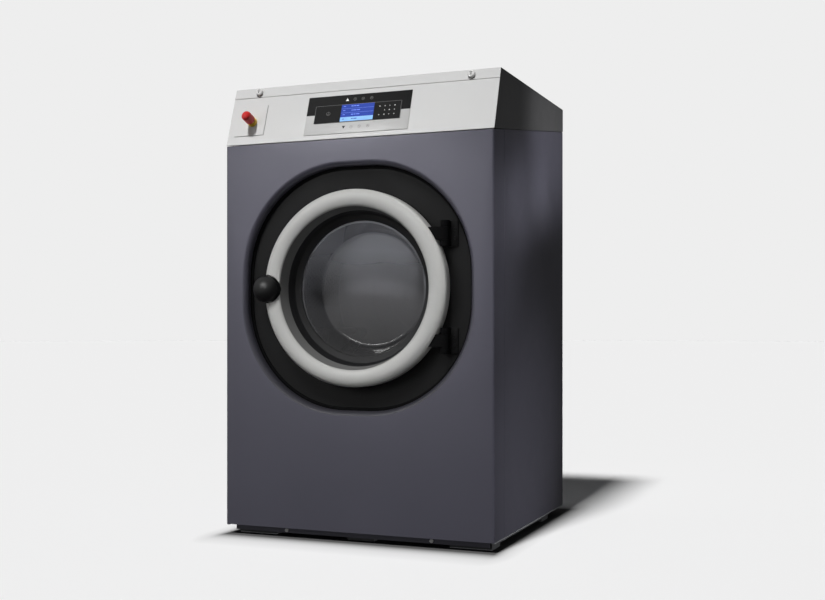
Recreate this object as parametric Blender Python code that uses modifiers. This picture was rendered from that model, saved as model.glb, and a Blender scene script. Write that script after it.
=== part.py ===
"""Front-loading washer-extractor for a laundry room, built as an assembly.

Metres, +Z up. The front faces -Y and +X is at the right as seen from the front. The origin is on the
floor, under the middle of the whole machine. Every sub-part is its own object, and a moving piece has
its origin on the axis that it moves about.
"""
import math

import bmesh
import bpy
from mathutils import Matrix, Vector

# Overall cabinet
WIDTH = 0.710
FRONT_REACH = 0.042
REAR_REACH = 0.070
SHEET = 0.002
GAP = 0.0003
SEAM = 0.0012
OVERRUN = 0.004
WELD = 0.00001

# Front panel and the recess round the door
PANEL_BOTTOM = 0.025
PANEL_RETURN = 0.075
PANEL_EDGE_RADIUS = 0.005
TOP_FLANGE = 0.030
FLANGE_NOTCH = 0.008
RECESS_MARGIN = 0.045
RECESS_CORNER_INSET = 0.035
RECESS_ROLL = 0.013
RECESS_DEPTH = 0.0247
SEAL_WIDTH = 0.010
SEAL_THICKNESS = 0.0020
SURROUND_THICKNESS = 0.003
SURROUND_OVERLAP = 0.006
SURROUND_HOLE_ROOM = 0.0034
LATCH_SLOT_WIDTH = 0.026
LATCH_SLOT_HEIGHT = 0.056

# Side and rear panels
SIDE_FLANGE = 0.018
SEAM_DROP = 0.062
REAR_FLANGE = 0.012
LOUVRE_COUNT = 7
LOUVRE_LENGTH = 0.200
LOUVRE_HEIGHT = 0.006
LOUVRE_PITCH = 0.018
LOUVRE_BASE = 0.300

# Base frame, plinth and floor pads
BASE_SETBACK = 0.040
BASE_REAR_SETBACK = 0.093
RAIL_HEIGHT = 0.050
RAIL_WIDTH = 0.040
RAIL_WALL = 0.004
PAD_THICKNESS = 0.008
PAD_DEPTH = 0.062
CORNER_PAD_LENGTH = 0.105
MIDDLE_PAD_LENGTH = 0.070
PLINTH_SETBACK = 0.020
PLINTH_CLEARANCE = 0.010
PLINTH_SCREW_INSET = 0.162
PLINTH_SCREW_HEIGHT = 0.0165
SCREW_HEAD_RADIUS = 0.005
SCREW_HEAD_THICKNESS = 0.0024

# Slanted console
SLANT_SETBACK = 0.0516
CONSOLE_FOOT_ROOM = 0.0052
CONSOLE_THICKNESS = 0.0025
CONSOLE_FLANGE = 0.016
STRIP_HEIGHT = 0.0272
DISPLAY_WIDTH = 0.277
DISPLAY_HEIGHT = 0.105
DISPLAY_DROP = 0.0408
DISPLAY_THICKNESS = 0.0012
BAR_INSET = 0.0237
BAR_HEIGHT = 0.0476
BAR_DROP = 0.0679
BAR_PROUD = 0.0030
BAR_DEPTH = 0.012
SCREEN_WIDTH = 0.0874
SCREEN_HEIGHT = 0.0457
SCREEN_THICKNESS = 0.0014
STOP_PLATE_SIZE = 0.082
STOP_PLATE_INSET = 0.0605
STOP_PLATE_DROP = 0.0933
STOP_PLATE_THICKNESS = 0.0015
STOP_OFFSET_X = 0.006
STOP_OFFSET_DROP = 0.005
STOP_COLLAR_RADIUS = 0.0120
STOP_COLLAR_HEIGHT = 0.014
STOP_HEAD_RADIUS = 0.0125
STOP_HEAD_HEIGHT = 0.030
STOP_TRAVEL = 0.005
STOP_STEM_RADIUS = 0.005
STOP_STEM_DEPTH = 0.020
LOCK_INSET = 0.0705
LOCK_DROP = 0.013
LOCK_RADIUS = 0.009
LOCK_PROUD = 0.007
LOCK_BARREL_RADIUS = 0.0065
LOCK_PLUG_RADIUS = 0.0045
LOCK_SLOT_WIDTH = 0.0016
LOCK_SLOT_LENGTH = 0.0060
LOCK_DEPTH = 0.020
CAM_THICKNESS = 0.002
CAM_WIDTH = 0.010
CAM_LENGTH = 0.030
CHEEK_FLANGE = 0.014
CONSOLE_EDGE = 0.0008
BAR_STEP = 0.006
STOP_NECK_RADIUS = 0.0100
STOP_NECK_OVERLAP = 0.004
STOP_STEM_GRIP = 0.008
STOP_CROWN_SHARE = 0.75

# Lid over the hood, its hinges and the soap flap
LID_FRAME_INSET = 0.005
LID_FRAME_DEPTH = 0.012
LID_FRAME_SETBACK = 0.022
LID_HINGE_INSET = 0.125
LID_HINGE_WIDTH = 0.046
LID_EAR_WIDTH = 0.022
LID_KNUCKLE = 0.005
LID_PIN = 0.0022
LID_LEAF_DROP = 0.028
LID_LEAF_THICKNESS = 0.002
LID_AXIS_SETBACK = 0.0075
FLAP_SIDE_INSET = 0.055
FLAP_WIDTH = 0.200
FLAP_DEPTH = 0.125
FLAP_REAR_INSET = 0.043
FLAP_GAP = 0.0012
FLAP_REAR_GAP = 0.003
FLAP_THICKNESS = 0.003
FLAP_ROD = 0.0012
FLAP_GRIP_RADIUS = 0.012
CAM_SINK_SHARE = 0.1

# Shelf under the lid, soap box, control box, inlet valves and mains gland
SHELF_REAR_ROOM = 0.023
SHELF_RUN = 0.160
SHELF_DROP = 0.004
SHELF_FLANGE = 0.025
SOAP_REACH = 0.010
SOAP_DROP = 0.018
SOAP_WALL = 0.003
SOAP_MARGIN = 0.008
SOAP_BINS = 3
CONTROL_X0 = 0.040
CONTROL_SIDE_INSET = 0.055
CONTROL_HEIGHT = 0.080
CONTROL_MARGIN = 0.030
CONTROL_EDGE = 0.004
CONTROL_FINS = 8
CONTROL_FIN_MARGIN = 0.020
CONTROL_FIN_THICKNESS = 0.004
CONTROL_FIN_HEIGHT = 0.012
VALVE_INSETS = (0.105, 0.195)
VALVE_DROP = 0.090
VALVE_BODY_LENGTH = 0.030
VALVE_BODY_RADIUS = 0.021
VALVE_NOZZLE_RADIUS = 0.013
VALVE_REACH = 0.026
VALVE_BORE = 0.009
VALVE_BORE_DEPTH = 0.020
GLAND_INSET = 0.125
GLAND_DROP = 0.150
GLAND_RADIUS = 0.015
GLAND_BORE = 0.006
GLAND_REACH = 0.026
GLAND_NECK_SHARE = 0.75
HOSE_INSET = 0.225
HOSE_REAR_INSET = 0.031
HOSE_RADIUS = 0.016

# Tub, its legs and its front
TUB_WALL = 0.003
TUB_RIM_REACH = 0.009
TUB_SIDE_ROOM = 0.051
TUB_FLOOR_ROOM = 0.312
TUB_TOP_ROOM = 0.059
TUB_RIM_WIDTH = 0.004
TUB_FRONT = 0.078
TUB_END_ROOM = 0.041
TUB_BACK = 0.006
TUB_SIDES = 56
TUB_SHAFT_BORE = 0.030
NECK_INSET = 0.005
NECK_FRONT = 0.048
TUB_COVER_THICKNESS = 0.0037
LEG_FRONT = 0.150
LEG_DEPTH = 0.206
LEG_PLATE = 0.008
LEG_BITE = 0.020
LEG_TOP_DEGREES = 12
LEG_HOOK_DEGREES = 52
GASKET_WIDTH = 0.019
GASKET_LIP_INSET = 0.009
GASKET_FRONT = 0.0633
GASKET_BACK = 0.084
GASKET_STEP = 0.007

# Drum, spider, shaft and bearings
DRUM_FRONT = 0.090
DRUM_LENGTH = 0.380
DRUM_ROOM = 0.025
DRUM_WALL = 0.002
DRUM_MOUTH_INSET = 0.008
DRUM_LIP = 0.010
DRUM_CORNER = 0.005
DRUM_SIDES = 48
DRUM_HUB_HOLE = 0.040
LIFTER_COUNT = 3
LIFTER_HEIGHT = 0.062
LIFTER_CREST = 0.012
LIFTER_HALF_DEGREES = 8
LIFTER_START = 0.012
SPIDER_HUB = 0.048
SPIDER_HUB_LENGTH = 0.028
SPIDER_ARM_WIDTH = 0.030
SPIDER_ARM_SETBACK = 0.012
SPIDER_TIP_DEPTH = 0.014
SHAFT_RADIUS = 0.0175
SHAFT_REACH = 0.101
HOUSING_FLANGE = 0.115
HOUSING_FLANGE_THICKNESS = 0.010
HOUSING_HUB = 0.050
HOUSING_LENGTH = 0.064
HOUSING_RIBS = 6
HOUSING_RIB_THICKNESS = 0.008
BEARING_OUTER = 0.026
BEARING_WIDTH = 0.015
BEARING_SHIELD = 0.0012
BEARING_FRONT_SEAT = 0.003
BEARING_REAR_SEAT = 0.046

# Drive
PULLEY_RADIUS = 0.150
PULLEY_RIM = 0.008
PULLEY_WIDTH = 0.020
PULLEY_ROOM = 0.075
DRIVE_ROOM = 0.112
PULLEY_HUB = 0.034
PULLEY_WEB = 0.006
PULLEY_HOLES = 5
PULLEY_HOLE_RADIUS = 0.032
PULLEY_HOLE_CIRCLE = 0.090
MOTOR_PULLEY_RADIUS = 0.030
MOTOR_PULLEY_WIDTH = 0.018
MOTOR_SIDE_ROOM = 0.190
MOTOR_HEIGHT = 0.165
MOTOR_LEAD = 0.201
MOTOR_LENGTH = 0.175
MOTOR_RADIUS = 0.072
MOTOR_BELL = 0.014
MOTOR_NOSE = 0.045
MOTOR_SHAFT = 0.009
MOTOR_SHAFT_GRIP = 0.035
BELT_THICKNESS = 0.004
BELT_WIDTH = 0.014
SHELF_HALF = 0.085
SHELF_DEPTH = 0.120
SHELF_THICKNESS = 0.004
SADDLE_HALF = 0.055
SADDLE_DEPTH = 0.070
SADDLE_SHARE = 0.55

# Drain
DRAIN_X = 0.0
DRAIN_SETBACK = 0.300
DRAIN_VALVE_RADIUS = 0.032
DRAIN_BORE = 0.0235
DRAIN_VALVE_LOW = 0.190
DRAIN_DISC_RADIUS = 0.0222
DRAIN_DISC_THICKNESS = 0.003
DRAIN_DISC_HEIGHT = 0.240
DRAIN_SPINDLE = 0.003
DRAIN_PIPE_HEIGHT = 0.100
DRAIN_PIPE_RADIUS = 0.027
DRAIN_PIPE_BORE = 0.0225
DRAIN_BEND = 0.045
ACTUATOR_LENGTH = 0.045
ACTUATOR_WIDTH = 0.044
ACTUATOR_HEIGHT = 0.050

# Door
DOOR_ROOM = 0.071
RING_WIDTH = 0.0414
RING_CREST_INSET = 0.018
RING_PROUD = 0.018
RING_SHOULDER = 0.005
RING_LIP = 0.010
RING_BACK = 0.024
RING_SIDES = 56
BEZEL_FRONT = 0.009
BEZEL_LIP_WIDTH = 0.0113
BEZEL_CONE_DEPTH = 0.034
BEZEL_WIDTH = 0.0306
BEZEL_GLASS_DEPTH = 0.050
BEZEL_BACK = 0.052
BEZEL_BODY_INSET = 0.0076
GLASS_RIM_INSET = 0.002
GLASS_RIM_THICKNESS = 0.005
GLASS_WALL = 0.004
GLASS_RIM_WIDTH = 0.022
GLASS_TAPER = 0.018
GLASS_DEPTH = 0.120
GLASS_CORNER = 0.010
CLAMP_WIDTH = 0.017
CLAMP_THICKNESS = 0.0057
HINGE_INSET = 0.007
HINGE_SETBACK = 0.005
HINGE_OFFSET = 0.126
HINGE_KNUCKLE = 0.010
HINGE_PIN = 0.004
HINGE_ARM_LENGTH = 0.047
HINGE_ARM_HEIGHT = 0.030
HINGE_LUG_HEIGHT = 0.0155
HINGE_LEAF_INSET = 0.0095
HINGE_LEAF_WIDTH = 0.036
HINGE_LEAF_THICKNESS = 0.0035
LUG_WEB_SHARE = 0.9

# Door knob, latch and lock housing
KNOB_INSET = 0.0095
KNOB_RADIUS = 0.0325
KNOB_NOTCH = 0.035
KNOB_SEAT = 0.006
KNOB_CROWN = 0.016
KNOB_SOCKET = 0.016
SPINDLE_RADIUS = 0.006
CATCH_START = 0.036
CATCH_THICKNESS = 0.005
CATCH_WIDTH = 0.012
CATCH_LENGTH = 0.044
HOUSING_OUTER_REACH = 0.038
HOUSING_INNER_REACH = 0.020
HOUSING_HALF_HEIGHT = 0.042
HOUSING_DEPTH = 0.032
HOUSING_WALL = 0.006
HOUSING_CAVITY_HALF = 0.030
HOUSING_CAVITY_BACK = 0.050

# Values worked out from the sizes above
HALF_WIDTH = WIDTH / 2
TUB_RIM = HALF_WIDTH - TUB_SIDE_ROOM
TUB_OUTER = TUB_RIM - TUB_RIM_REACH
TUB_INNER = TUB_OUTER - TUB_WALL
DRUM_OUTER = TUB_INNER - DRUM_ROOM
DRUM_INNER = DRUM_OUTER - DRUM_WALL
SPIDER_ARM_REACH = DRUM_OUTER - SPIDER_ARM_SETBACK
TUB_LENGTH = DRUM_FRONT + DRUM_LENGTH + TUB_END_ROOM - TUB_FRONT
TUB_END = TUB_FRONT + TUB_LENGTH
BEARING_FRONT_START = TUB_END + BEARING_FRONT_SEAT
BEARING_REAR_START = TUB_END + BEARING_REAR_SEAT
PULLEY_START = TUB_END + PULLEY_ROOM
PULLEY_MIDDLE = PULLEY_START + PULLEY_WIDTH / 2
SHAFT_END = TUB_END + SHAFT_REACH
MOTOR_FRONT = PULLEY_START - MOTOR_LEAD
MOTOR_X = HALF_WIDTH - MOTOR_SIDE_ROOM
DEPTH = TUB_END + DRIVE_ROOM
DOOR_HEIGHT = TUB_RIM + TUB_FLOOR_ROOM
SLANT_FOOT = DOOR_HEIGHT + TUB_RIM + TUB_TOP_ROOM
SLANT_RISE = DISPLAY_DROP + DISPLAY_HEIGHT + CONSOLE_FOOT_ROOM
HEIGHT = SLANT_FOOT + SLANT_RISE
SEAM_REAR = HEIGHT - SEAM_DROP
TOTAL_DEPTH = FRONT_REACH + DEPTH + REAR_REACH
FRONT_Y = FRONT_REACH - TOTAL_DEPTH / 2
BACK_Y = FRONT_Y + DEPTH
SLANT_LENGTH = math.hypot(SLANT_SETBACK, SLANT_RISE)
SLANT_ANGLE = math.atan2(SLANT_SETBACK, SLANT_RISE)
BASE_LENGTH = DEPTH - BASE_SETBACK - BASE_REAR_SETBACK
RAIL_BASE = PAD_THICKNESS + GAP
RAIL_TOP = RAIL_BASE + RAIL_HEIGHT
RAIL_OUTER = HALF_WIDTH - SIDE_FLANGE - GAP
RAIL_INNER = RAIL_OUTER - RAIL_WIDTH
PLINTH_SCREW_X = HALF_WIDTH - PLINTH_SCREW_INSET
RECESS_HALF = HALF_WIDTH - RECESS_MARGIN
RECESS_CORNER = RECESS_HALF - RECESS_CORNER_INSET
SURROUND_FRONT = RECESS_DEPTH + GAP + SEAL_THICKNESS
SURROUND_BACK = SURROUND_FRONT + SURROUND_THICKNESS
RING_OUTER = RECESS_HALF - DOOR_ROOM
RING_INNER = RING_OUTER - RING_WIDTH
RING_CREST = RING_OUTER - RING_CREST_INSET
BEZEL_CONE_RADIUS = RING_INNER - BEZEL_LIP_WIDTH
BEZEL_GLASS_RADIUS = RING_INNER - BEZEL_WIDTH
BEZEL_BODY = RING_INNER - BEZEL_BODY_INSET
GLASS_RIM = BEZEL_BODY - GLASS_RIM_INSET
GLASS_SHOULDER = GLASS_RIM - GLASS_RIM_WIDTH
GLASS_END = GLASS_SHOULDER - GLASS_TAPER
CLAMP_INNER = GLASS_RIM - CLAMP_WIDTH
SURROUND_HOLE = RING_INNER + SURROUND_HOLE_ROOM
NECK_INNER = SURROUND_HOLE - NECK_INSET
NECK_OUTER = NECK_INNER + TUB_WALL
GASKET_INNER = NECK_INNER - GASKET_WIDTH
GASKET_LIP = NECK_INNER - GASKET_LIP_INSET
DRUM_MOUTH = NECK_INNER - DRUM_MOUTH_INSET
HINGE_X = RING_OUTER - HINGE_INSET
HINGE_ARM_X = HINGE_X - HINGE_ARM_LENGTH
HINGE_LEAF_X = HINGE_X - HINGE_LEAF_INSET
KNOB_X = KNOB_INSET - RING_OUTER
HOUSING_X0 = KNOB_X - HOUSING_OUTER_REACH
HOUSING_X1 = KNOB_X + HOUSING_INNER_REACH
BAR_WIDTH = DISPLAY_WIDTH - 2 * BAR_INSET
BAR_UP = SLANT_LENGTH - BAR_DROP - BAR_HEIGHT / 2
STOP_PLATE_X = STOP_PLATE_INSET - HALF_WIDTH
STOP_X = STOP_PLATE_X + STOP_OFFSET_X
STOP_UP = SLANT_LENGTH - STOP_PLATE_DROP - STOP_OFFSET_DROP
LOCK_X = HALF_WIDTH - LOCK_INSET
LID_HINGE_X = HALF_WIDTH - LID_HINGE_INSET
LID_AXIS_Y = BACK_Y + LID_AXIS_SETBACK
LID_AXIS_HEIGHT = HEIGHT - LID_KNUCKLE
FLAP_X0 = FLAP_SIDE_INSET - HALF_WIDTH
FLAP_X1 = FLAP_X0 + FLAP_WIDTH
FLAP_BACK = DEPTH - FLAP_REAR_INSET
FLAP_FRONT = FLAP_BACK - FLAP_DEPTH
FLAP_AXIS_Y = FRONT_Y + FLAP_BACK
FLAP_AXIS_HEIGHT = HEIGHT - FLAP_THICKNESS / 2
SHELF_FRONT = DEPTH - SHELF_REAR_ROOM - SHELF_RUN
TOP_SHELF_HEIGHT = SLANT_FOOT - SHELF_DROP
SOAP_X0 = FLAP_X0 - SOAP_REACH
SOAP_X1 = FLAP_X1 + SOAP_REACH
SOAP_TOP = HEIGHT - SOAP_DROP
CONTROL_X1 = HALF_WIDTH - CONTROL_SIDE_INSET
CONTROL_FIN_PITCH = (CONTROL_X1 - CONTROL_X0 - CONTROL_FIN_MARGIN) / CONTROL_FINS
VALVE_X = tuple(inset - HALF_WIDTH for inset in VALVE_INSETS)
VALVE_HEIGHT = HEIGHT - VALVE_DROP
GLAND_X = HALF_WIDTH - GLAND_INSET
GLAND_HEIGHT = HEIGHT - GLAND_DROP
HOSE_X = HOSE_INSET - HALF_WIDTH
HOSE_SETBACK = TUB_END - HOSE_REAR_INSET

# Colours, roughness and metallic value of each finish
PAINT = ((0.118, 0.112, 0.142), 0.42, 0.15)
DARK_COVER = ((0.040, 0.038, 0.040), 0.48, 0.0)
LIGHT_STEEL = ((0.640, 0.640, 0.635), 0.30, 0.35)
BLACK_PLASTIC = ((0.016, 0.016, 0.018), 0.45, 0.0)
RUBBER = ((0.020, 0.020, 0.021), 0.80, 0.0)
RING_GREY = ((0.430, 0.425, 0.410), 0.45, 0.0)
STAINLESS = ((0.560, 0.560, 0.550), 0.28, 1.0)
GALVANISED = ((0.480, 0.490, 0.500), 0.45, 0.9)
CAST_IRON = ((0.120, 0.120, 0.125), 0.60, 0.8)
CHROME = ((0.750, 0.750, 0.760), 0.10, 1.0)
GLASS = ((0.300, 0.330, 0.350), 0.04, 0.0)
RED = ((0.560, 0.020, 0.020), 0.35, 0.0)
YELLOW = ((0.780, 0.560, 0.020), 0.40, 0.0)
BLUE_SCREEN = ((0.020, 0.060, 0.550), 0.20, 0.0)
WHITE_PLASTIC = ((0.620, 0.620, 0.600), 0.50, 0.0)
STEEL = ((0.400, 0.400, 0.410), 0.35, 1.0)
BRASS = ((0.520, 0.380, 0.120), 0.30, 1.0)

parts = None
cutters = None


def clear_scene():
    for old in list(bpy.data.objects):
        bpy.data.objects.remove(old, do_unlink=True)


def make_collection(name):
    made = bpy.data.collections.new(name)
    bpy.context.scene.collection.children.link(made)
    return made


def finish_material(name, finish):
    """A Principled material for each sub-part, from its colour, roughness and metallic value."""
    color, roughness, metallic = finish
    material = bpy.data.materials.new(name)
    material.use_nodes = True
    shader = material.node_tree.nodes["Principled BSDF"]
    shader.inputs["Base Color"].default_value = (*color, 1.0)
    shader.inputs["Roughness"].default_value = roughness
    shader.inputs["Metallic"].default_value = metallic
    material.diffuse_color = (*color, 1.0)
    return material


def behind(distance):
    """World Y of a plane that lies this far behind the front panel's face."""
    return FRONT_Y + distance


def seam_height(distance):
    """Height of the seam under the top cover, which rises from the front to the back."""
    return SLANT_FOOT + (SEAM_REAR - SLANT_FOOT) * distance / DEPTH


def add_part(name, mesh, finish):
    made = bpy.data.objects.new(name, mesh)
    parts.objects.link(made)
    if finish is not None:
        mesh.materials.append(finish_material(name, finish))
    return made


def to_cutter(made):
    """Moves an object to the cutters, which the model itself leaves out."""
    for home in list(made.users_collection):
        home.objects.unlink(made)
    cutters.objects.link(made)
    made.hide_render = True
    made.display_type = "WIRE"
    return made


def mesh_from(bm, name):
    mesh = bpy.data.meshes.new(name)
    bm.normal_update()
    bm.to_mesh(mesh)
    bm.free()
    return mesh


def smooth(made, degrees=35):
    made.data.shade_smooth()
    made.data.set_sharp_from_angle(angle=math.radians(degrees))


def box(name, low, high, finish=None, edge=0):
    """A box between two corners, with rounded edges where a radius is given."""
    low, high = Vector(low), Vector(high)
    size = high - low
    bm = bmesh.new()
    bmesh.ops.create_cube(bm, size=1)
    bmesh.ops.scale(bm, vec=size, verts=bm.verts)
    made = add_part(name, mesh_from(bm, name), finish)
    made.location = (low + high) / 2
    if edge:
        round_edges(made, edge)
    return made


def round_edges(made, radius, segments=2, degrees=50):
    bevel = made.modifiers.new("rounded edges", "BEVEL")
    bevel.width = radius
    bevel.segments = segments
    bevel.limit_method = "ANGLE"
    bevel.angle_limit = math.radians(degrees)
    bevel.use_clamp_overlap = True
    return bevel


AXIS_TURN = {
    "X": Matrix.Rotation(math.radians(90), 4, "Y"),
    "Y": Matrix.Rotation(math.radians(-90), 4, "X"),
    "-Y": Matrix.Rotation(math.radians(90), 4, "X"),
    "Z": Matrix.Identity(4),
    "YZ": Matrix(((0, 0, 1, 0), (1, 0, 0, 0), (0, 1, 0, 0), (0, 0, 0, 1))),
}
SLANT_AXES = Matrix((
    (1, 0, 0, 0),
    (0, math.sin(SLANT_ANGLE), -math.cos(SLANT_ANGLE), 0),
    (0, math.cos(SLANT_ANGLE), math.sin(SLANT_ANGLE), 0),
    (0, 0, 0, 1),
))


def place(made, centre, axis="Z"):
    """Puts the object's own Z on a world axis, or on the axes of a matrix, at a centre."""
    turn = AXIS_TURN[axis] if isinstance(axis, str) else axis
    made.matrix_world = Matrix.Translation(Vector(centre)) @ turn
    return made


def cylinder(name, centre, axis, radius, length, finish=None, sides=32):
    """A cylinder whose middle is at the centre."""
    bm = bmesh.new()
    bmesh.ops.create_cone(bm, cap_ends=True, segments=sides, radius1=radius, radius2=radius, depth=length)
    made = add_part(name, mesh_from(bm, name), finish)
    place(made, centre, axis)
    smooth(made)
    return made


def turned(name, profile, centre, axis, finish=None, steps=48, closed=True):
    """A turned solid. The profile is (radius, height along the axis), as a loop or from axis to axis."""
    area = 0
    count = len(profile)
    for i in range(count):
        r0, z0 = profile[i]
        r1, z1 = profile[(i + 1) % count]
        area += r0 * z1 - r1 * z0
    points = list(reversed(profile)) if area > 0 else list(profile)
    bm = bmesh.new()
    verts = [bm.verts.new((r, 0, z)) for r, z in points]
    for i in range(count - 1):
        bm.edges.new((verts[i], verts[i + 1]))
    if closed:
        bm.edges.new((verts[-1], verts[0]))
    made = add_part(name, mesh_from(bm, name), finish)
    screw = made.modifiers.new("turned", "SCREW")
    screw.axis = "Z"
    screw.angle = math.tau
    screw.steps = steps
    screw.render_steps = steps
    screw.use_merge_vertices = True
    screw.merge_threshold = WELD
    screw.use_smooth_shade = True
    place(made, centre, axis)
    return made


def outline_plate(name, outlines, thickness, centre, axis, finish=None):
    """A flat plate from outlines in the object's own XY plane, cut through by any outline inside another."""
    curve = bpy.data.curves.new(name, "CURVE")
    curve.dimensions = "2D"
    curve.fill_mode = "BOTH"
    curve.extrude = thickness / 2
    for outline in outlines:
        spline = curve.splines.new("POLY")
        spline.points.add(len(outline) - 1)
        for point, (x, y) in zip(spline.points, outline):
            point.co = (x, y, 0, 1)
        spline.use_cyclic_u = True
    made = bpy.data.objects.new(name, curve)
    parts.objects.link(made)
    place(made, centre, axis)
    return solid_from_curve(made, finish)


def tube(name, points, radius, finish, resolution=2):
    """A round bar or pipe along a route, with filled ends."""
    curve = bpy.data.curves.new(name, "CURVE")
    curve.dimensions = "3D"
    curve.bevel_depth = radius
    curve.bevel_resolution = resolution
    curve.use_fill_caps = True
    spline = curve.splines.new("POLY")
    spline.points.add(len(points) - 1)
    for point, co in zip(spline.points, points):
        point.co = (*co, 1)
    made = bpy.data.objects.new(name, curve)
    parts.objects.link(made)
    return solid_from_curve(made, finish)


def solid_from_curve(curve_object, finish):
    """Turns a filled curve into a mesh with its caps welded, so that it can be cut and joined."""
    graph = bpy.context.evaluated_depsgraph_get()
    graph.update()
    name = curve_object.name
    mesh = bpy.data.meshes.new_from_object(curve_object.evaluated_get(graph))
    bm = bmesh.new()
    bm.from_mesh(mesh)
    bmesh.ops.remove_doubles(bm, verts=bm.verts, dist=WELD)
    bmesh.ops.recalc_face_normals(bm, faces=bm.faces)
    bm.to_mesh(mesh)
    bm.free()
    matrix = curve_object.matrix_world.copy()
    bpy.data.objects.remove(curve_object, do_unlink=True)
    mesh.materials.clear()
    mesh.name = name
    made = add_part(name, mesh, finish)
    made.matrix_world = matrix
    return made


def boolean(made, other, operation):
    modifier = made.modifiers.new(operation.lower(), "BOOLEAN")
    modifier.operation = operation
    modifier.solver = "EXACT"
    modifier.object = to_cutter(other)
    return made


def cut(made, other):
    return boolean(made, other, "DIFFERENCE")


def join(made, other):
    return boolean(made, other, "UNION")


def arc(centre_x, centre_y, radius, start, end, steps):
    """Points along an arc, with both ends, for angles in degrees."""
    points = []
    for i in range(steps + 1):
        angle = math.radians(start + (end - start) * i / steps)
        points.append((centre_x + radius * math.cos(angle), centre_y + radius * math.sin(angle)))
    return points


def ellipse(x, y, half_x, half_y, start, end, steps):
    """Points along an arc of an ellipse, with both ends, for angles in degrees."""
    points = []
    for i in range(steps + 1):
        angle = math.radians(start + (end - start) * i / steps)
        points.append((x + half_x * math.cos(angle), y + half_y * math.sin(angle)))
    return points


def radial_axes(angle):
    """Axes with X outwards at an angle round the machine's main axis and Y along that axis."""
    c, s = math.cos(angle), math.sin(angle)
    return Matrix(((c, 0, -s, 0), (0, 1, 0, 0), (s, 0, c, 0), (0, 0, 0, 1)))


def rounded_square(half, corner, steps=12):
    """Outline of a square with wide round corners, such as the recess round the door."""
    middle = half - corner
    points = []
    for turn, (sx, sy) in enumerate(((1, 1), (-1, 1), (-1, -1), (1, -1))):
        points += arc(sx * middle, sy * middle, corner, 90 * turn, 90 * turn + 90, steps)
    return points


def rectangle(half_x, half_y, x=0, y=0):
    x0, x1, y0, y1 = x - half_x, x + half_x, y - half_y, y + half_y
    return [(x0, y0), (x1, y0), (x1, y1), (x0, y1)]


def pan(name, corners, open_side, finish, wall=SHEET, edge=0):
    """A folded sheet tray: a six-sided block given by its eight corners, open on one side.

    The corners are in the order of a cube: the lower four and then the upper four, each going round.
    """
    bm = bmesh.new()
    verts = [bm.verts.new(corner) for corner in corners]
    sides = {
        "bottom": (0, 3, 2, 1), "top": (4, 5, 6, 7), "front": (0, 1, 5, 4),
        "right": (1, 2, 6, 5), "back": (2, 3, 7, 6), "left": (3, 0, 4, 7),
    }
    for side, loop in sides.items():
        if side not in open_side:
            bm.faces.new([verts[i] for i in loop])
    made = add_part(name, mesh_from(bm, name), finish)
    if edge:
        round_edges(made, edge)
    thicken(made, wall)
    return made


def thicken(made, wall, offset=-1):
    """Gives an open surface its thickness, on the side away from its normals."""
    solid = made.modifiers.new("sheet", "SOLIDIFY")
    solid.thickness = wall
    solid.offset = offset
    solid.use_even_offset = True
    solid.use_quality_normals = True
    return made


def block_corners(x0, x1, y0, y1, z0, z1_front, z1_back):
    """Corners of a block whose top slopes from the front to the back."""
    return [
        (x0, y0, z0), (x1, y0, z0), (x1, y1, z0), (x0, y1, z0),
        (x0, y0, z1_front), (x1, y0, z1_front), (x1, y1, z1_back), (x0, y1, z1_back),
    ]


def on_slant(x, up, out):
    """World point on the slanted console: x across, up the slope from its foot, and out from its face."""
    return Vector((0, behind(0), SLANT_FOOT)) + SLANT_AXES.to_3x3() @ Vector((x, up, out))


def slant_box(name, x, up, half_x, half_up, out_low, out_high, finish=None, edge=0):
    """A box in the console's own axes, centred at (x, up) and reaching between two heights off its face."""
    made = box(name, (-half_x, -half_up, out_low), (half_x, half_up, out_high), finish, edge)
    middle = (out_low + out_high) / 2
    return place(made, on_slant(x, up, middle), SLANT_AXES)


def slant_round(name, x, up, radius, out_low, out_high, finish=None, sides=32):
    made = cylinder(name, (0, 0, 0), "Z", radius, out_high - out_low, finish, sides)
    return place(made, on_slant(x, up, (out_low + out_high) / 2), SLANT_AXES)


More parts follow.
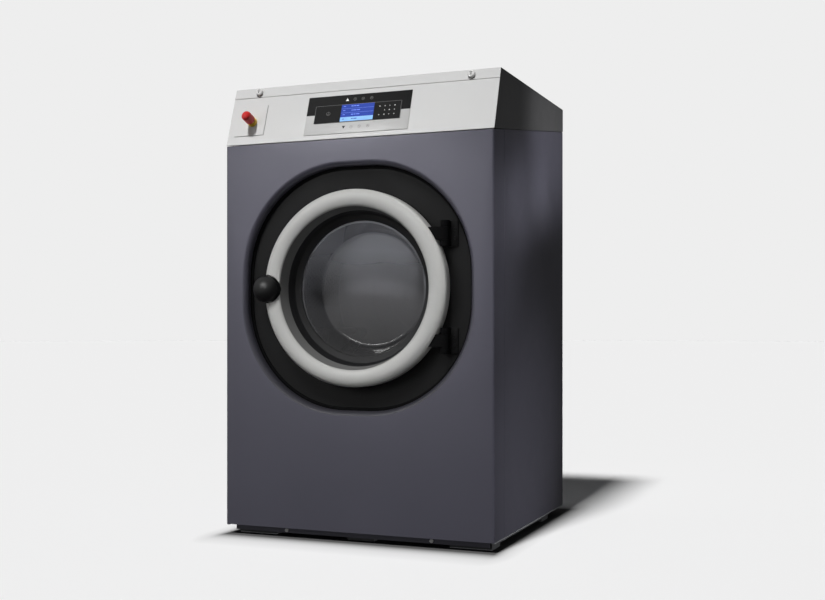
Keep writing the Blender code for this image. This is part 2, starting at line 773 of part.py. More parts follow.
def base_frame():
    """Two channel rails and two cross channels, standing on welded floor pads."""
    rail_y = behind(BASE_SETBACK + BASE_LENGTH / 2)
    front_pad = (behind(BASE_SETBACK), behind(BASE_SETBACK) + PAD_DEPTH)
    rear_pad = (behind(BASE_SETBACK + BASE_LENGTH) - PAD_DEPTH, behind(BASE_SETBACK + BASE_LENGTH))
    web = RAIL_OUTER - RAIL_WALL
    for side, name in ((-1, "base_rail_left"), (1, "base_rail_right")):
        outline = [
            (side * RAIL_OUTER, RAIL_BASE), (side * RAIL_OUTER, RAIL_TOP), (side * RAIL_INNER, RAIL_TOP),
            (side * RAIL_INNER, RAIL_TOP - RAIL_WALL), (side * web, RAIL_TOP - RAIL_WALL),
            (side * web, RAIL_BASE + RAIL_WALL), (side * RAIL_INNER, RAIL_BASE + RAIL_WALL),
            (side * RAIL_INNER, RAIL_BASE),
        ]
        rail = outline_plate(name, [outline], BASE_LENGTH, (0, rail_y, 0), "-Y", GALVANISED)
        pad_x = sorted((side * RAIL_OUTER, side * (RAIL_OUTER - CORNER_PAD_LENGTH)))
        for label, (y0, y1) in (("front", front_pad), ("rear", rear_pad)):
            low, high = (pad_x[0], y0, 0), (pad_x[1], y1, RAIL_BASE + RAIL_WALL / 2)
            join(rail, box(f"{name}_{label}_pad", low, high))
    cross_half = RAIL_INNER - GAP
    for name, y_web, y_open in (
        ("base_cross_front", behind(BASE_SETBACK), behind(BASE_SETBACK) + RAIL_WIDTH),
        ("base_cross_rear", rear_pad[1], rear_pad[1] - RAIL_WIDTH),
    ):
        wall = RAIL_WALL if y_open > y_web else -RAIL_WALL
        low = RAIL_BASE + PAD_THICKNESS
        outline = [
            (y_web, low), (y_open, low), (y_open, low + RAIL_WALL), (y_web + wall, low + RAIL_WALL),
            (y_web + wall, RAIL_TOP - RAIL_WALL), (y_open, RAIL_TOP - RAIL_WALL), (y_open, RAIL_TOP),
            (y_web, RAIL_TOP),
        ]
        cross = outline_plate(name, [outline], 2 * cross_half, (0, 0, 0), "YZ", GALVANISED)
        y0, y1 = sorted((y_web, y_open))
        half_pad = MIDDLE_PAD_LENGTH / 2
        join(cross, box(f"{name}_pad", (-half_pad, y0, 0), (half_pad, y1, low + RAIL_WALL / 2)))
        if name == "base_cross_rear":
            join(cross, motor_shelf_plate(y0))
            join(cross, motor_saddle_block())


def motor_shelf_plate(rear_cross_front):
    """A plate welded on the rear cross channel, reaching forwards and over the right-hand rail."""
    low = RAIL_TOP + GAP
    back = rear_cross_front + RAIL_WIDTH / 2
    shelf = box("motor_shelf", (MOTOR_X - SHELF_HALF, back - SHELF_DEPTH, low),
                (RAIL_OUTER, back, low + SHELF_THICKNESS))
    foot_low = RAIL_TOP - RAIL_WALL / 2
    foot_x = MOTOR_X - SHELF_HALF + RAIL_WALL
    foot = box("motor_shelf_weld", (foot_x, rear_cross_front + RAIL_WALL, foot_low),
               (RAIL_INNER - 2 * RAIL_WALL, back - RAIL_WALL, low + SHELF_THICKNESS / 2))
    return join(shelf, foot)


def motor_saddle_block():
    """The cradle that the motor lies in, hollowed to the motor's own radius."""
    low = RAIL_TOP + GAP + SHELF_THICKNESS / 2
    middle = behind(MOTOR_FRONT + MOTOR_LENGTH / 2)
    high = MOTOR_HEIGHT - MOTOR_RADIUS * SADDLE_SHARE
    saddle = box("motor_saddle", (MOTOR_X - SADDLE_HALF, middle - SADDLE_DEPTH / 2, low),
                 (MOTOR_X + SADDLE_HALF, middle + SADDLE_DEPTH / 2, high))
    hollow = cylinder("motor_saddle_hollow", (MOTOR_X, middle, MOTOR_HEIGHT), "Y", MOTOR_RADIUS + GAP,
                      MOTOR_LENGTH, sides=48)
    return cut(saddle, hollow)


def plinth_strip():
    """The strip under the front panel, with the heads of its two screws."""
    front, back = behind(PLINTH_SETBACK), behind(BASE_SETBACK) - GAP
    top = PANEL_BOTTOM - GAP
    outline = [
        (front, PLINTH_CLEARANCE), (front + SHEET, PLINTH_CLEARANCE), (front + SHEET, top - SHEET),
        (back, top - SHEET), (back, top), (front, top),
    ]
    strip = outline_plate("plinth_strip", [outline], 2 * (HALF_WIDTH - SIDE_FLANGE), (0, 0, 0), "YZ", PAINT)
    for side, label in ((-1, "left"), (1, "right")):
        profile = [
            (0, SHEET / 2), (SCREW_HEAD_RADIUS, SHEET / 2), (SCREW_HEAD_RADIUS, -SCREW_HEAD_THICKNESS / 2),
            (SCREW_HEAD_RADIUS / 2, -SCREW_HEAD_THICKNESS), (0, -SCREW_HEAD_THICKNESS),
        ]
        centre = (side * PLINTH_SCREW_X, front, PLINTH_SCREW_HEIGHT)
        join(strip, turned(f"plinth_screw_{label}", profile, centre, "Y", steps=16, closed=False))


def front_panel():
    """The painted front sheet, rolled inwards round the recess and folded back at its edges."""
    notch = HALF_WIDTH - FLANGE_NOTCH
    outline = [
        (-HALF_WIDTH, PANEL_BOTTOM), (-notch, PANEL_BOTTOM), (notch, PANEL_BOTTOM),
        (HALF_WIDTH, PANEL_BOTTOM), (HALF_WIDTH, SLANT_FOOT), (notch, SLANT_FOOT),
        (-notch, SLANT_FOOT), (-HALF_WIDTH, SLANT_FOOT),
    ]
    bm = bmesh.new()
    weight = bm.edges.layers.float.new("bevel_weight_edge")
    rim = [bm.verts.new((x, behind(0), z)) for x, z in outline]
    rings = []
    roll_steps = 5
    profile = []
    for i in range(roll_steps + 1):
        angle = math.radians(90) * i / roll_steps
        profile.append((RECESS_ROLL * math.sin(angle), RECESS_ROLL * (1 - math.cos(angle))))
    profile.append((RECESS_ROLL, RECESS_DEPTH))
    for inset, depth in profile:
        shape = rounded_square(RECESS_HALF - inset, RECESS_CORNER - inset)
        rings.append([bm.verts.new((x, behind(depth), DOOR_HEIGHT + z)) for x, z in shape])
    edges = []
    for loop in (rim, rings[0]):
        for i in range(len(loop)):
            edges.append(bm.edges.new((loop[i], loop[(i + 1) % len(loop)])))
    bmesh.ops.triangle_fill(bm, use_beauty=True, use_dissolve=False, edges=edges, normal=(0, -1, 0))
    for near, far in zip(rings, rings[1:]):
        for i in range(len(near)):
            j = (i + 1) % len(near)
            bm.faces.new((near[i], near[j], far[j], far[i]))
    folds = (
        (7, 0, PANEL_RETURN, seam_height(PANEL_RETURN), PANEL_BOTTOM),
        (3, 4, PANEL_RETURN, PANEL_BOTTOM, seam_height(PANEL_RETURN)),
        (1, 2, BASE_SETBACK - GAP, PANEL_BOTTOM, PANEL_BOTTOM),
        (5, 6, TOP_FLANGE, SLANT_FOOT, SLANT_FOOT),
    )
    for first, second, depth, z_first, z_second in folds:
        a, b = rim[first], rim[second]
        c = bm.verts.new((b.co.x, behind(depth), z_second))
        d = bm.verts.new((a.co.x, behind(depth), z_first))
        bm.faces.new((a, b, c, d))
        if depth == PANEL_RETURN:
            bm.edges.get((a, b))[weight] = 1
    bmesh.ops.recalc_face_normals(bm, faces=bm.faces)
    bm.faces.ensure_lookup_table()
    if bm.faces[0].normal.y > 0:
        bmesh.ops.reverse_faces(bm, faces=bm.faces)
    made = add_part("front_panel", mesh_from(bm, "front_panel"), PAINT)
    bevel = round_edges(made, PANEL_EDGE_RADIUS, 3)
    bevel.limit_method = "WEIGHT"
    thicken(made, SHEET)
    smooth(made, 25)


def door_surround():
    """The black plate at the bottom of the recess, with its seal rim, the door's hole and the latch slot."""
    inner = RECESS_HALF - RECESS_ROLL
    corner = RECESS_CORNER - RECESS_ROLL
    front = RECESS_DEPTH + GAP + SEAL_THICKNESS
    middle = front + SURROUND_THICKNESS / 2
    outer = rounded_square(inner + SURROUND_OVERLAP, corner + SURROUND_OVERLAP)
    opening = arc(0, 0, SURROUND_HOLE, 0, 360 - 360 / 48, 47)
    slot = rectangle(LATCH_SLOT_WIDTH / 2, LATCH_SLOT_HEIGHT / 2, KNOB_X)
    plate = outline_plate("door_surround", [outer, opening, slot], SURROUND_THICKNESS,
                          (0, behind(middle), DOOR_HEIGHT), "-Y", BLACK_PLASTIC)
    rim_thickness = SEAL_THICKNESS + SURROUND_THICKNESS / 2
    rim_outlines = [
        rounded_square(inner + SURROUND_OVERLAP - SHEET / 4, corner + SURROUND_OVERLAP - SHEET / 4),
        rounded_square(inner + SURROUND_OVERLAP - SEAL_WIDTH, corner + SURROUND_OVERLAP - SEAL_WIDTH),
    ]
    rim_middle = RECESS_DEPTH + GAP + rim_thickness / 2
    rim = outline_plate("seal_rim", rim_outlines, rim_thickness, (0, behind(rim_middle), DOOR_HEIGHT), "-Y")
    join(plate, rim)
    smooth(plate, 30)


def side_panels():
    """Painted side sheets with folded edges, whose tops slope up to the back."""
    y0, y1 = behind(PANEL_RETURN + SEAM), BACK_Y
    z_front = seam_height(PANEL_RETURN + SEAM)
    inner = HALF_WIDTH - SIDE_FLANGE
    left = block_corners(-HALF_WIDTH, -inner, y0, y1, PANEL_BOTTOM, z_front, SEAM_REAR)
    pan("side_panel_left", left, ("right",), PAINT, edge=PANEL_EDGE_RADIUS / 2)
    right = block_corners(inner, HALF_WIDTH, y0, y1, PANEL_BOTTOM, z_front, SEAM_REAR)
    pan("side_panel_right", right, ("left",), PAINT, edge=PANEL_EDGE_RADIUS / 2)


def rear_panel():
    """The back sheet, with its louvres, pipe holes, mains gland and the fixed halves of the hinges."""
    half = HALF_WIDTH - SIDE_FLANGE - GAP
    top = HEIGHT - SHEET - GAP
    corners = block_corners(-half, half, BACK_Y - REAR_FLANGE, BACK_Y, PANEL_BOTTOM, top, top)
    panel = pan("rear_panel", corners, ("front",), GALVANISED)
    for side in (-1, 1):
        join(panel, hinge_leaf(side * LID_HINGE_X, "left" if side < 0 else "right"))
    gland_profile = [
        (0, -SHEET / 2), (GLAND_RADIUS, -SHEET / 2), (GLAND_RADIUS, GLAND_REACH / 2),
        (GLAND_RADIUS * GLAND_NECK_SHARE, GLAND_REACH / 2), (GLAND_RADIUS * GLAND_NECK_SHARE, GLAND_REACH),
        (GLAND_BORE, GLAND_REACH), (GLAND_BORE, GLAND_REACH / 2), (0, GLAND_REACH / 2),
    ]
    gland_centre = (GLAND_X, BACK_Y, GLAND_HEIGHT)
    join(panel, turned("mains_gland", gland_profile, gland_centre, "Y", steps=16, closed=False))
    for i in range(LOUVRE_COUNT):
        z = LOUVRE_BASE + i * LOUVRE_PITCH
        slot = box(f"louvre_{i + 1}", (-LOUVRE_LENGTH / 2, BACK_Y - SHEET - OVERRUN, z),
                   (LOUVRE_LENGTH / 2, BACK_Y + OVERRUN, z + LOUVRE_HEIGHT))
        cut(panel, slot)
    holes = [(DRAIN_X, DRAIN_PIPE_HEIGHT, DRAIN_PIPE_RADIUS)]
    holes += [(x, VALVE_HEIGHT, VALVE_NOZZLE_RADIUS) for x in VALVE_X]
    for i, (x, z, radius) in enumerate(holes):
        hole = cylinder(f"pipe_hole_{i + 1}", (x, BACK_Y, z), "Y", radius + GAP, 2 * (SHEET + OVERRUN))
        cut(panel, hole)


def hinge_leaf(x, label):
    """A leaf on the back sheet with two knuckles and the pin that the lid turns on."""
    half = LID_HINGE_WIDTH / 2
    inside = BACK_Y - SHEET / 2
    leaf = box(f"hinge_leaf_{label}", (x - half, inside, LID_AXIS_HEIGHT - LID_LEAF_DROP),
               (x + half, BACK_Y + LID_LEAF_THICKNESS, LID_AXIS_HEIGHT - LID_PIN))
    curl = arc(LID_AXIS_Y, LID_AXIS_HEIGHT, LID_KNUCKLE, -80, 180, 12)
    curl = [(inside, curl[0][1])] + curl + [(inside, curl[-1][1])]
    knuckle_length = (LID_HINGE_WIDTH - LID_EAR_WIDTH) / 2 - SHEET
    for side in (-1, 1):
        knuckle_x = x + side * (LID_EAR_WIDTH / 2 + GAP + knuckle_length / 2)
        name = f"hinge_knuckle_{label}_{side}"
        join(leaf, outline_plate(name, [curl], knuckle_length, (knuckle_x, 0, 0), "YZ"))
    join(leaf, cylinder(f"lid_pin_{label}", (x, LID_AXIS_Y, LID_AXIS_HEIGHT), "X", LID_PIN,
                        LID_EAR_WIDTH + knuckle_length, sides=12))
    return leaf


def top_shelf():
    """A folded shelf between the side panels, which carries the soap box and the control box."""
    half = HALF_WIDTH - SHEET - GAP
    y0, y1 = behind(SHELF_FRONT), behind(SHELF_FRONT + SHELF_RUN)
    top = TOP_SHELF_HEIGHT
    corners = block_corners(-half, half, y0, y1, top - SHELF_FLANGE, top, top)
    shelf = pan("top_shelf", corners, ("bottom",), GALVANISED)
    hole = cylinder("hose_hole", (HOSE_X, behind(HOSE_SETBACK), TOP_SHELF_HEIGHT), "Z", HOSE_RADIUS + GAP,
                    2 * (SHEET + OVERRUN))
    cut(shelf, hole)


def hood_cheeks():
    """The dark side pieces of the hood, cut to the console's slope in front and to the seam below."""
    offset = (CONSOLE_THICKNESS + GAP) / math.cos(SLANT_ANGLE)
    slope = math.tan(SLANT_ANGLE)
    top = HEIGHT - SHEET - GAP
    low_front = SLANT_FOOT + GAP
    low_back = SEAM_REAR + GAP
    front_low = offset
    front_top = (top - SLANT_FOOT) * slope + offset
    for side, label, open_side in ((-1, "left", "right"), (1, "right", "left")):
        x0, x1 = sorted((side * HALF_WIDTH, side * (HALF_WIDTH - CHEEK_FLANGE)))
        rise = seam_height(front_low) - SLANT_FOOT
        corners = [
            (x0, behind(front_low), low_front + rise), (x1, behind(front_low), low_front + rise),
            (x1, BACK_Y, low_back), (x0, BACK_Y, low_back),
            (x0, behind(front_top), top), (x1, behind(front_top), top), (x1, BACK_Y, top), (x0, BACK_Y, top),
        ]
        pan(f"hood_cheek_{label}", corners, (open_side,), DARK_COVER)


def console_panel():
    """The light slanted panel, a plate with a stiffening frame behind it."""
    low, high = SEAM, SLANT_LENGTH - STRIP_HEIGHT
    middle = (low + high) / 2
    panel = slant_box("console_panel", 0, middle, HALF_WIDTH, (high - low) / 2, -CONSOLE_THICKNESS, 0,
                      LIGHT_STEEL, CONSOLE_EDGE)
    frame_low = (GAP + CONSOLE_FLANGE * math.sin(SLANT_ANGLE)) / math.cos(SLANT_ANGLE)
    frame_high = high - (frame_low - low)
    half_x = HALF_WIDTH - CHEEK_FLANGE - GAP
    half_up = (frame_high - frame_low) / 2
    frame_out = -CONSOLE_THICKNESS / 2
    depth = CONSOLE_FLANGE + frame_out
    frame_centre = on_slant(0, (frame_low + frame_high) / 2, frame_out - depth / 2)
    outlines = [rectangle(half_x, half_up), rectangle(half_x - SHEET, half_up - SHEET)]
    frame = outline_plate("console_frame", outlines, depth, frame_centre, SLANT_AXES)
    join(panel, frame)
    plate_up = SLANT_LENGTH - STOP_PLATE_DROP
    half_plate = STOP_PLATE_SIZE / 2
    join(panel, slant_box("stop_plate", STOP_PLATE_X, plate_up, half_plate, half_plate,
                          -CONSOLE_THICKNESS / 2, STOP_PLATE_THICKNESS))
    cut(panel, slant_box("display_opening", 0, BAR_UP, BAR_WIDTH / 2 - BAR_STEP,
                         BAR_HEIGHT / 2 - BAR_STEP, -CONSOLE_THICKNESS - OVERRUN, OVERRUN))
    cut(panel, slant_round("stop_opening", STOP_X, STOP_UP, STOP_NECK_RADIUS + GAP,
                           -CONSOLE_THICKNESS - OVERRUN, STOP_PLATE_THICKNESS + OVERRUN))


def display_frame():
    """The display's overlay with its raised bar, the socket behind it and the screen's pocket."""
    up = SLANT_LENGTH - DISPLAY_DROP - DISPLAY_HEIGHT / 2
    frame = slant_box("display_frame", 0, up, DISPLAY_WIDTH / 2, DISPLAY_HEIGHT / 2, GAP,
                      GAP + DISPLAY_THICKNESS, BLACK_PLASTIC)
    middle = GAP + DISPLAY_THICKNESS / 2
    join(frame, slant_box("display_bar", 0, BAR_UP, BAR_WIDTH / 2, BAR_HEIGHT / 2, middle, BAR_PROUD))
    inset = BAR_STEP + GAP
    join(frame, slant_box("display_socket", 0, BAR_UP, BAR_WIDTH / 2 - inset, BAR_HEIGHT / 2 - inset,
                          -BAR_DEPTH, middle))
    cut(frame, slant_box("screen_pocket", 0, BAR_UP, SCREEN_WIDTH / 2 + GAP, SCREEN_HEIGHT / 2 + GAP,
                         BAR_PROUD - SCREEN_THICKNESS - GAP, BAR_PROUD + OVERRUN))
    slant_box("lcd_screen", 0, BAR_UP, SCREEN_WIDTH / 2, SCREEN_HEIGHT / 2,
              BAR_PROUD - SCREEN_THICKNESS, BAR_PROUD, BLUE_SCREEN)


def stop_button():
    """The emergency stop: a collar fixed in the console, a stem that slides and a head that twists."""
    face = STOP_PLATE_THICKNESS + GAP
    shoulder = STOP_COLLAR_HEIGHT - STOP_TRAVEL - GAP
    neck_top = STOP_COLLAR_HEIGHT + STOP_NECK_OVERLAP
    bore = STOP_STEM_RADIUS + GAP
    tail = -CONSOLE_THICKNESS - STOP_STEM_DEPTH
    collar_profile = [
        (bore, face + neck_top), (STOP_NECK_RADIUS, face + neck_top), (STOP_NECK_RADIUS, face + shoulder),
        (STOP_COLLAR_RADIUS, face + shoulder), (STOP_COLLAR_RADIUS, face), (STOP_NECK_RADIUS, face),
        (STOP_NECK_RADIUS, tail), (bore, tail),
    ]
    turned("stop_collar", collar_profile, on_slant(STOP_X, STOP_UP, 0), SLANT_AXES, YELLOW, steps=24)
    head_low = face + STOP_COLLAR_HEIGHT
    pocket = head_low + STOP_NECK_OVERLAP + STOP_TRAVEL + GAP
    stem_top = pocket + STOP_STEM_GRIP
    stem_profile = [(0, stem_top), (STOP_STEM_RADIUS, stem_top), (STOP_STEM_RADIUS, tail), (0, tail)]
    turned("stop_stem", stem_profile, on_slant(STOP_X, STOP_UP, 0), SLANT_AXES, BLACK_PLASTIC, steps=16,
           closed=False)
    head_top = head_low + STOP_HEAD_HEIGHT
    crown_height = STOP_HEAD_RADIUS * STOP_CROWN_SHARE
    crown = [(STOP_HEAD_RADIUS * math.cos(t), head_top - crown_height + crown_height * math.sin(t))
             for t in [math.radians(15 * i) for i in range(6)]]
    head_profile = [(0, head_top)] + list(reversed(crown)) + [
        (STOP_HEAD_RADIUS, head_low), (STOP_NECK_RADIUS + GAP, head_low), (STOP_NECK_RADIUS + GAP, pocket),
        (bore, pocket), (bore, stem_top + GAP), (0, stem_top + GAP),
    ]
    turned("stop_head", head_profile, on_slant(STOP_X, STOP_UP, 0), SLANT_AXES, RED, steps=24, closed=False)


def top_lid():
    """The lid over the hood: a stiffened sheet with hinge ears, cut out for the soap flap."""
    front = SLANT_SETBACK + (CONSOLE_THICKNESS / math.cos(SLANT_ANGLE)) + GAP
    low = HEIGHT - SHEET
    lid = box("top_lid", (-HALF_WIDTH, behind(front), low), (HALF_WIDTH, BACK_Y, HEIGHT), DARK_COVER)
    half_x = HALF_WIDTH - CHEEK_FLANGE - LID_FRAME_INSET
    y0, y1 = behind(front + LID_FRAME_SETBACK), BACK_Y - LID_FRAME_INSET - REAR_FLANGE
    frame_depth = LID_FRAME_DEPTH + SHEET / 2
    half_y = (y1 - y0) / 2
    centre = (0, (y0 + y1) / 2, low + SHEET / 2 - frame_depth / 2)
    outlines = [rectangle(half_x, half_y), rectangle(half_x - SHEET, half_y - SHEET)]
    join(lid, outline_plate("lid_frame", outlines, frame_depth, centre, "Z"))
    for side in (-1, 1):
        x = side * LID_HINGE_X
        half = LID_EAR_WIDTH / 2
        join(lid, box(f"ear_strap_{side}", (x - half, BACK_Y - SHEET, LID_AXIS_HEIGHT + LID_PIN + SHEET / 2),
                      (x + half, LID_AXIS_Y, HEIGHT - SHEET / 4)))
        join(lid, cylinder(f"ear_knuckle_{side}", (x, LID_AXIS_Y, LID_AXIS_HEIGHT), "X",
                           LID_KNUCKLE - SHEET / 4, LID_EAR_WIDTH, sides=16))
        cut(lid, cylinder(f"ear_bore_{side}", (x, LID_AXIS_Y, LID_AXIS_HEIGHT), "X", LID_PIN + GAP,
                          LID_EAR_WIDTH + OVERRUN, sides=16))
    under = low - LID_FRAME_DEPTH - OVERRUN
    cut(lid, box("flap_opening", (FLAP_X0 - FLAP_GAP, behind(FLAP_FRONT) - FLAP_GAP, under),
                 (FLAP_X1 + FLAP_GAP, FLAP_AXIS_Y + FLAP_REAR_GAP, HEIGHT + OVERRUN)))
    return lid


def lid_strip():
    """The light strip across the front of the lid, with the housings of its two locks."""
    up = SLANT_LENGTH - STRIP_HEIGHT / 2
    half_up = (STRIP_HEIGHT - SEAM) / 2
    strip = slant_box("lid_strip", 0, up + SEAM / 2, HALF_WIDTH, half_up, -CONSOLE_THICKNESS, 0,
                      LIGHT_STEEL)
    lock_up = SLANT_LENGTH - LOCK_DROP
    for side in (-1, 1):
        x = side * LOCK_X
        join(strip, slant_round(f"lock_barrel_{side}", x, lock_up, LOCK_BARREL_RADIUS, -LOCK_DEPTH,
                                LOCK_PROUD / 2, sides=24))
        join(strip, slant_round(f"lock_bezel_{side}", x, lock_up, LOCK_RADIUS, -CONSOLE_THICKNESS / 2,
                                LOCK_PROUD, sides=24))
        cut(strip, slant_round(f"lock_bore_{side}", x, lock_up, LOCK_PLUG_RADIUS + GAP,
                               -LOCK_DEPTH - OVERRUN, LOCK_PROUD + OVERRUN, sides=24))


def lid_locks():
    """The turning plug of each lid lock, with its key slot and the cam that hooks behind the console."""
    up = SLANT_LENGTH - LOCK_DROP
    for side, label in ((-1, "left"), (1, "right")):
        x = side * LOCK_X
        cam_low = -LOCK_DEPTH - GAP - CAM_THICKNESS
        plug = slant_round(f"lid_lock_{label}", x, up, LOCK_PLUG_RADIUS, cam_low, LOCK_PROUD, CHROME,
                           sides=20)
        reach = CAM_LENGTH / 2
        cam_x = x - side * (reach - CAM_WIDTH / 2)
        join(plug, slant_box(f"lock_cam_{label}", cam_x, up, reach, CAM_WIDTH / 2,
                             cam_low + CAM_THICKNESS * CAM_SINK_SHARE, cam_low + CAM_THICKNESS))
        cut(plug, slant_box(f"key_slot_{label}", x, up, LOCK_SLOT_WIDTH / 2, LOCK_SLOT_LENGTH / 2,
                            LOCK_PROUD / 2, LOCK_PROUD + OVERRUN))


def soap_flap():
    """The flap over the soap box, flush with the lid, turning on a rod at its back edge."""
    flap = box("soap_flap", (FLAP_X0, behind(FLAP_FRONT), HEIGHT - FLAP_THICKNESS),
               (FLAP_X1, FLAP_AXIS_Y, HEIGHT), DARK_COVER)
    rod_length = FLAP_X1 - FLAP_X0 + 2 * (FLAP_GAP - GAP)
    middle = (FLAP_X0 + FLAP_X1) / 2
    join(flap, cylinder("flap_rod", (middle, FLAP_AXIS_Y, FLAP_AXIS_HEIGHT), "X", FLAP_ROD, rod_length,
                        sides=12))
    cut(flap, cylinder("flap_grip", (middle, behind(FLAP_FRONT), HEIGHT), "Z", FLAP_GRIP_RADIUS,
                       2 * FLAP_THICKNESS, sides=24))


def soap_box():
    """The soap dispenser: one moulding with three open compartments and an outlet to the tub."""
    y0, y1 = behind(SHELF_FRONT) + SOAP_MARGIN, BACK_Y - SHEET - GAP - VALVE_BODY_LENGTH - GAP
    low = TOP_SHELF_HEIGHT + GAP
    bin_box = box("soap_box", (SOAP_X0, y0, low), (SOAP_X1, y1, SOAP_TOP), WHITE_PLASTIC)
    room = (SOAP_X1 - SOAP_X0 - (SOAP_BINS + 1) * SOAP_WALL) / SOAP_BINS
    for i in range(SOAP_BINS):
        x0 = SOAP_X0 + SOAP_WALL + i * (room + SOAP_WALL)
        cut(bin_box, box(f"soap_bin_{i + 1}", (x0, y0 + SOAP_WALL, low + SOAP_WALL),
                         (x0 + room, y1 - SOAP_WALL, SOAP_TOP + OVERRUN)))


def control_box():
    """The closed housing of the control board and motor drive."""
    y0, y1 = behind(SHELF_FRONT) + SOAP_MARGIN, BACK_Y - SHEET - CONTROL_MARGIN
    low = TOP_SHELF_HEIGHT + GAP
    high = low + CONTROL_HEIGHT
    made = box("control_box", (CONTROL_X0, y0, low), (CONTROL_X1, y1, high), GALVANISED, CONTROL_EDGE)
    fin_low = high - CONTROL_EDGE
    for i in range(CONTROL_FINS):
        x = CONTROL_X0 + CONTROL_EDGE * 2 + i * CONTROL_FIN_PITCH
        join(made, box(f"cooling_fin_{i + 1}", (x, y0 + CONTROL_EDGE * 2, fin_low),
                       (x + CONTROL_FIN_THICKNESS, y1 - CONTROL_EDGE * 2, high + CONTROL_FIN_HEIGHT)))


def inlet_valves():
    """The water inlet valves, seated between the soap box and the back sheet."""
    start = BACK_Y - SHEET - GAP - VALVE_BODY_LENGTH
    for x, label in zip(VALVE_X, ("hot", "cold")):
        length = VALVE_BODY_LENGTH
        reach = length + GAP + SHEET + VALVE_REACH
        profile = [
            (0, reach - VALVE_BORE_DEPTH), (VALVE_BORE, reach - VALVE_BORE_DEPTH), (VALVE_BORE, reach),
            (VALVE_NOZZLE_RADIUS, reach), (VALVE_NOZZLE_RADIUS, length), (VALVE_BODY_RADIUS, length),
            (VALVE_BODY_RADIUS, 0), (0, 0),
        ]
        turned(f"inlet_valve_{label}", profile, (x, start, VALVE_HEIGHT), "Y", WHITE_PLASTIC, steps=24,
               closed=False)


def fill_hose():
    """The pipe from the soap box down to the tub, cut to the tub's round wall."""
    top = TOP_SHELF_HEIGHT
    middle = (top + DOOR_HEIGHT) / 2
    hose = cylinder("fill_hose", (HOSE_X, behind(HOSE_SETBACK), middle), "Z", HOSE_RADIUS,
                    top - DOOR_HEIGHT, RUBBER, sides=20)
    cut(hose, cylinder("hose_seat", (0, behind(TUB_FRONT + TUB_LENGTH / 2), DOOR_HEIGHT), "Y",
                       TUB_OUTER + GAP, TUB_LENGTH, sides=TUB_SIDES))


def outer_tub():
    """The tub with its rolled front rim and flat back, pierced for the shaft and the drain."""
    profile = [
        (TUB_INNER, 0), (TUB_RIM, 0), (TUB_RIM, TUB_RIM_WIDTH), (TUB_OUTER, TUB_RIM_WIDTH),
        (TUB_OUTER, TUB_LENGTH), (TUB_SHAFT_BORE, TUB_LENGTH), (TUB_SHAFT_BORE, TUB_LENGTH - TUB_BACK),
        (TUB_INNER, TUB_LENGTH - TUB_BACK),
    ]
    tub = turned("outer_tub", profile, (0, behind(TUB_FRONT), DOOR_HEIGHT), "Y", STAINLESS, steps=TUB_SIDES)
    drain = cylinder("tub_drain_hole", (DRAIN_X, behind(DRAIN_SETBACK), DOOR_HEIGHT - TUB_INNER), "Z",
                     DRAIN_BORE, 2 * LEG_BITE, sides=24)
    cut(tub, drain)


def tub_front():
    """The tub's front cover, with the neck that holds the door gasket."""
    back = TUB_FRONT - GAP
    front = back - TUB_COVER_THICKNESS
    profile = [
        (NECK_INNER, NECK_FRONT), (NECK_OUTER, NECK_FRONT), (NECK_OUTER, front), (TUB_RIM, front),
        (TUB_RIM, back), (NECK_INNER, back),
    ]
    turned("tub_front", profile, (0, behind(0), DOOR_HEIGHT), "Y", STAINLESS, steps=TUB_SIDES)


def tub_legs():
    """A welded leg on each side, two plates and a web, shaped to the tub that it carries."""
    low = RAIL_TOP + GAP
    top_angle, hook_angle = math.radians(LEG_TOP_DEGREES), math.radians(LEG_HOOK_DEGREES)
    top = DOOR_HEIGHT - TUB_OUTER * math.sin(top_angle)
    top_x = (TUB_OUTER - LEG_BITE) * math.cos(top_angle)
    hook_x = TUB_OUTER * math.cos(hook_angle)
    hook_z = DOOR_HEIGHT - TUB_OUTER * math.sin(hook_angle)
    for side, label in ((-1, "left"), (1, "right")):
        outline = [(RAIL_INNER, low), (RAIL_OUTER, low), (RAIL_OUTER, top), (top_x, top), (hook_x, hook_z)]
        outline = [(side * x, z) for x, z in outline]
        near, far = behind(LEG_FRONT + LEG_PLATE / 2), behind(LEG_FRONT + LEG_DEPTH - LEG_PLATE / 2)
        leg = outline_plate(f"tub_leg_{label}", [outline], LEG_PLATE, (0, near, 0), "-Y", STEEL)
        join(leg, outline_plate(f"leg_plate_{label}", [outline], LEG_PLATE, (0, far, 0), "-Y"))
        x0, x1 = sorted((side * RAIL_OUTER, side * (RAIL_OUTER - LEG_PLATE)))
        join(leg, box(f"leg_web_{label}", (x0, near, low), (x1, far, top)))
        cut(leg, cylinder(f"leg_hollow_{label}", (0, (near + far) / 2, DOOR_HEIGHT), "Y",
                          TUB_OUTER + GAP, 2 * LEG_DEPTH, sides=TUB_SIDES))


def door_gasket():
    """The rubber seal in the neck, with a lip that the door's clamp ring meets."""
    step = GASKET_FRONT + GASKET_STEP
    outer = NECK_INNER - GAP
    profile = [
        (GASKET_INNER + DRUM_WALL, GASKET_FRONT), (GASKET_LIP, GASKET_FRONT),
        (GASKET_LIP + DRUM_WALL, step), (outer, step + DRUM_WALL), (outer, GASKET_BACK),
        (GASKET_INNER, GASKET_BACK), (GASKET_INNER, step),
    ]
    turned("door_gasket", profile, (0, behind(0), DOOR_HEIGHT), "Y", RUBBER, steps=TUB_SIDES)


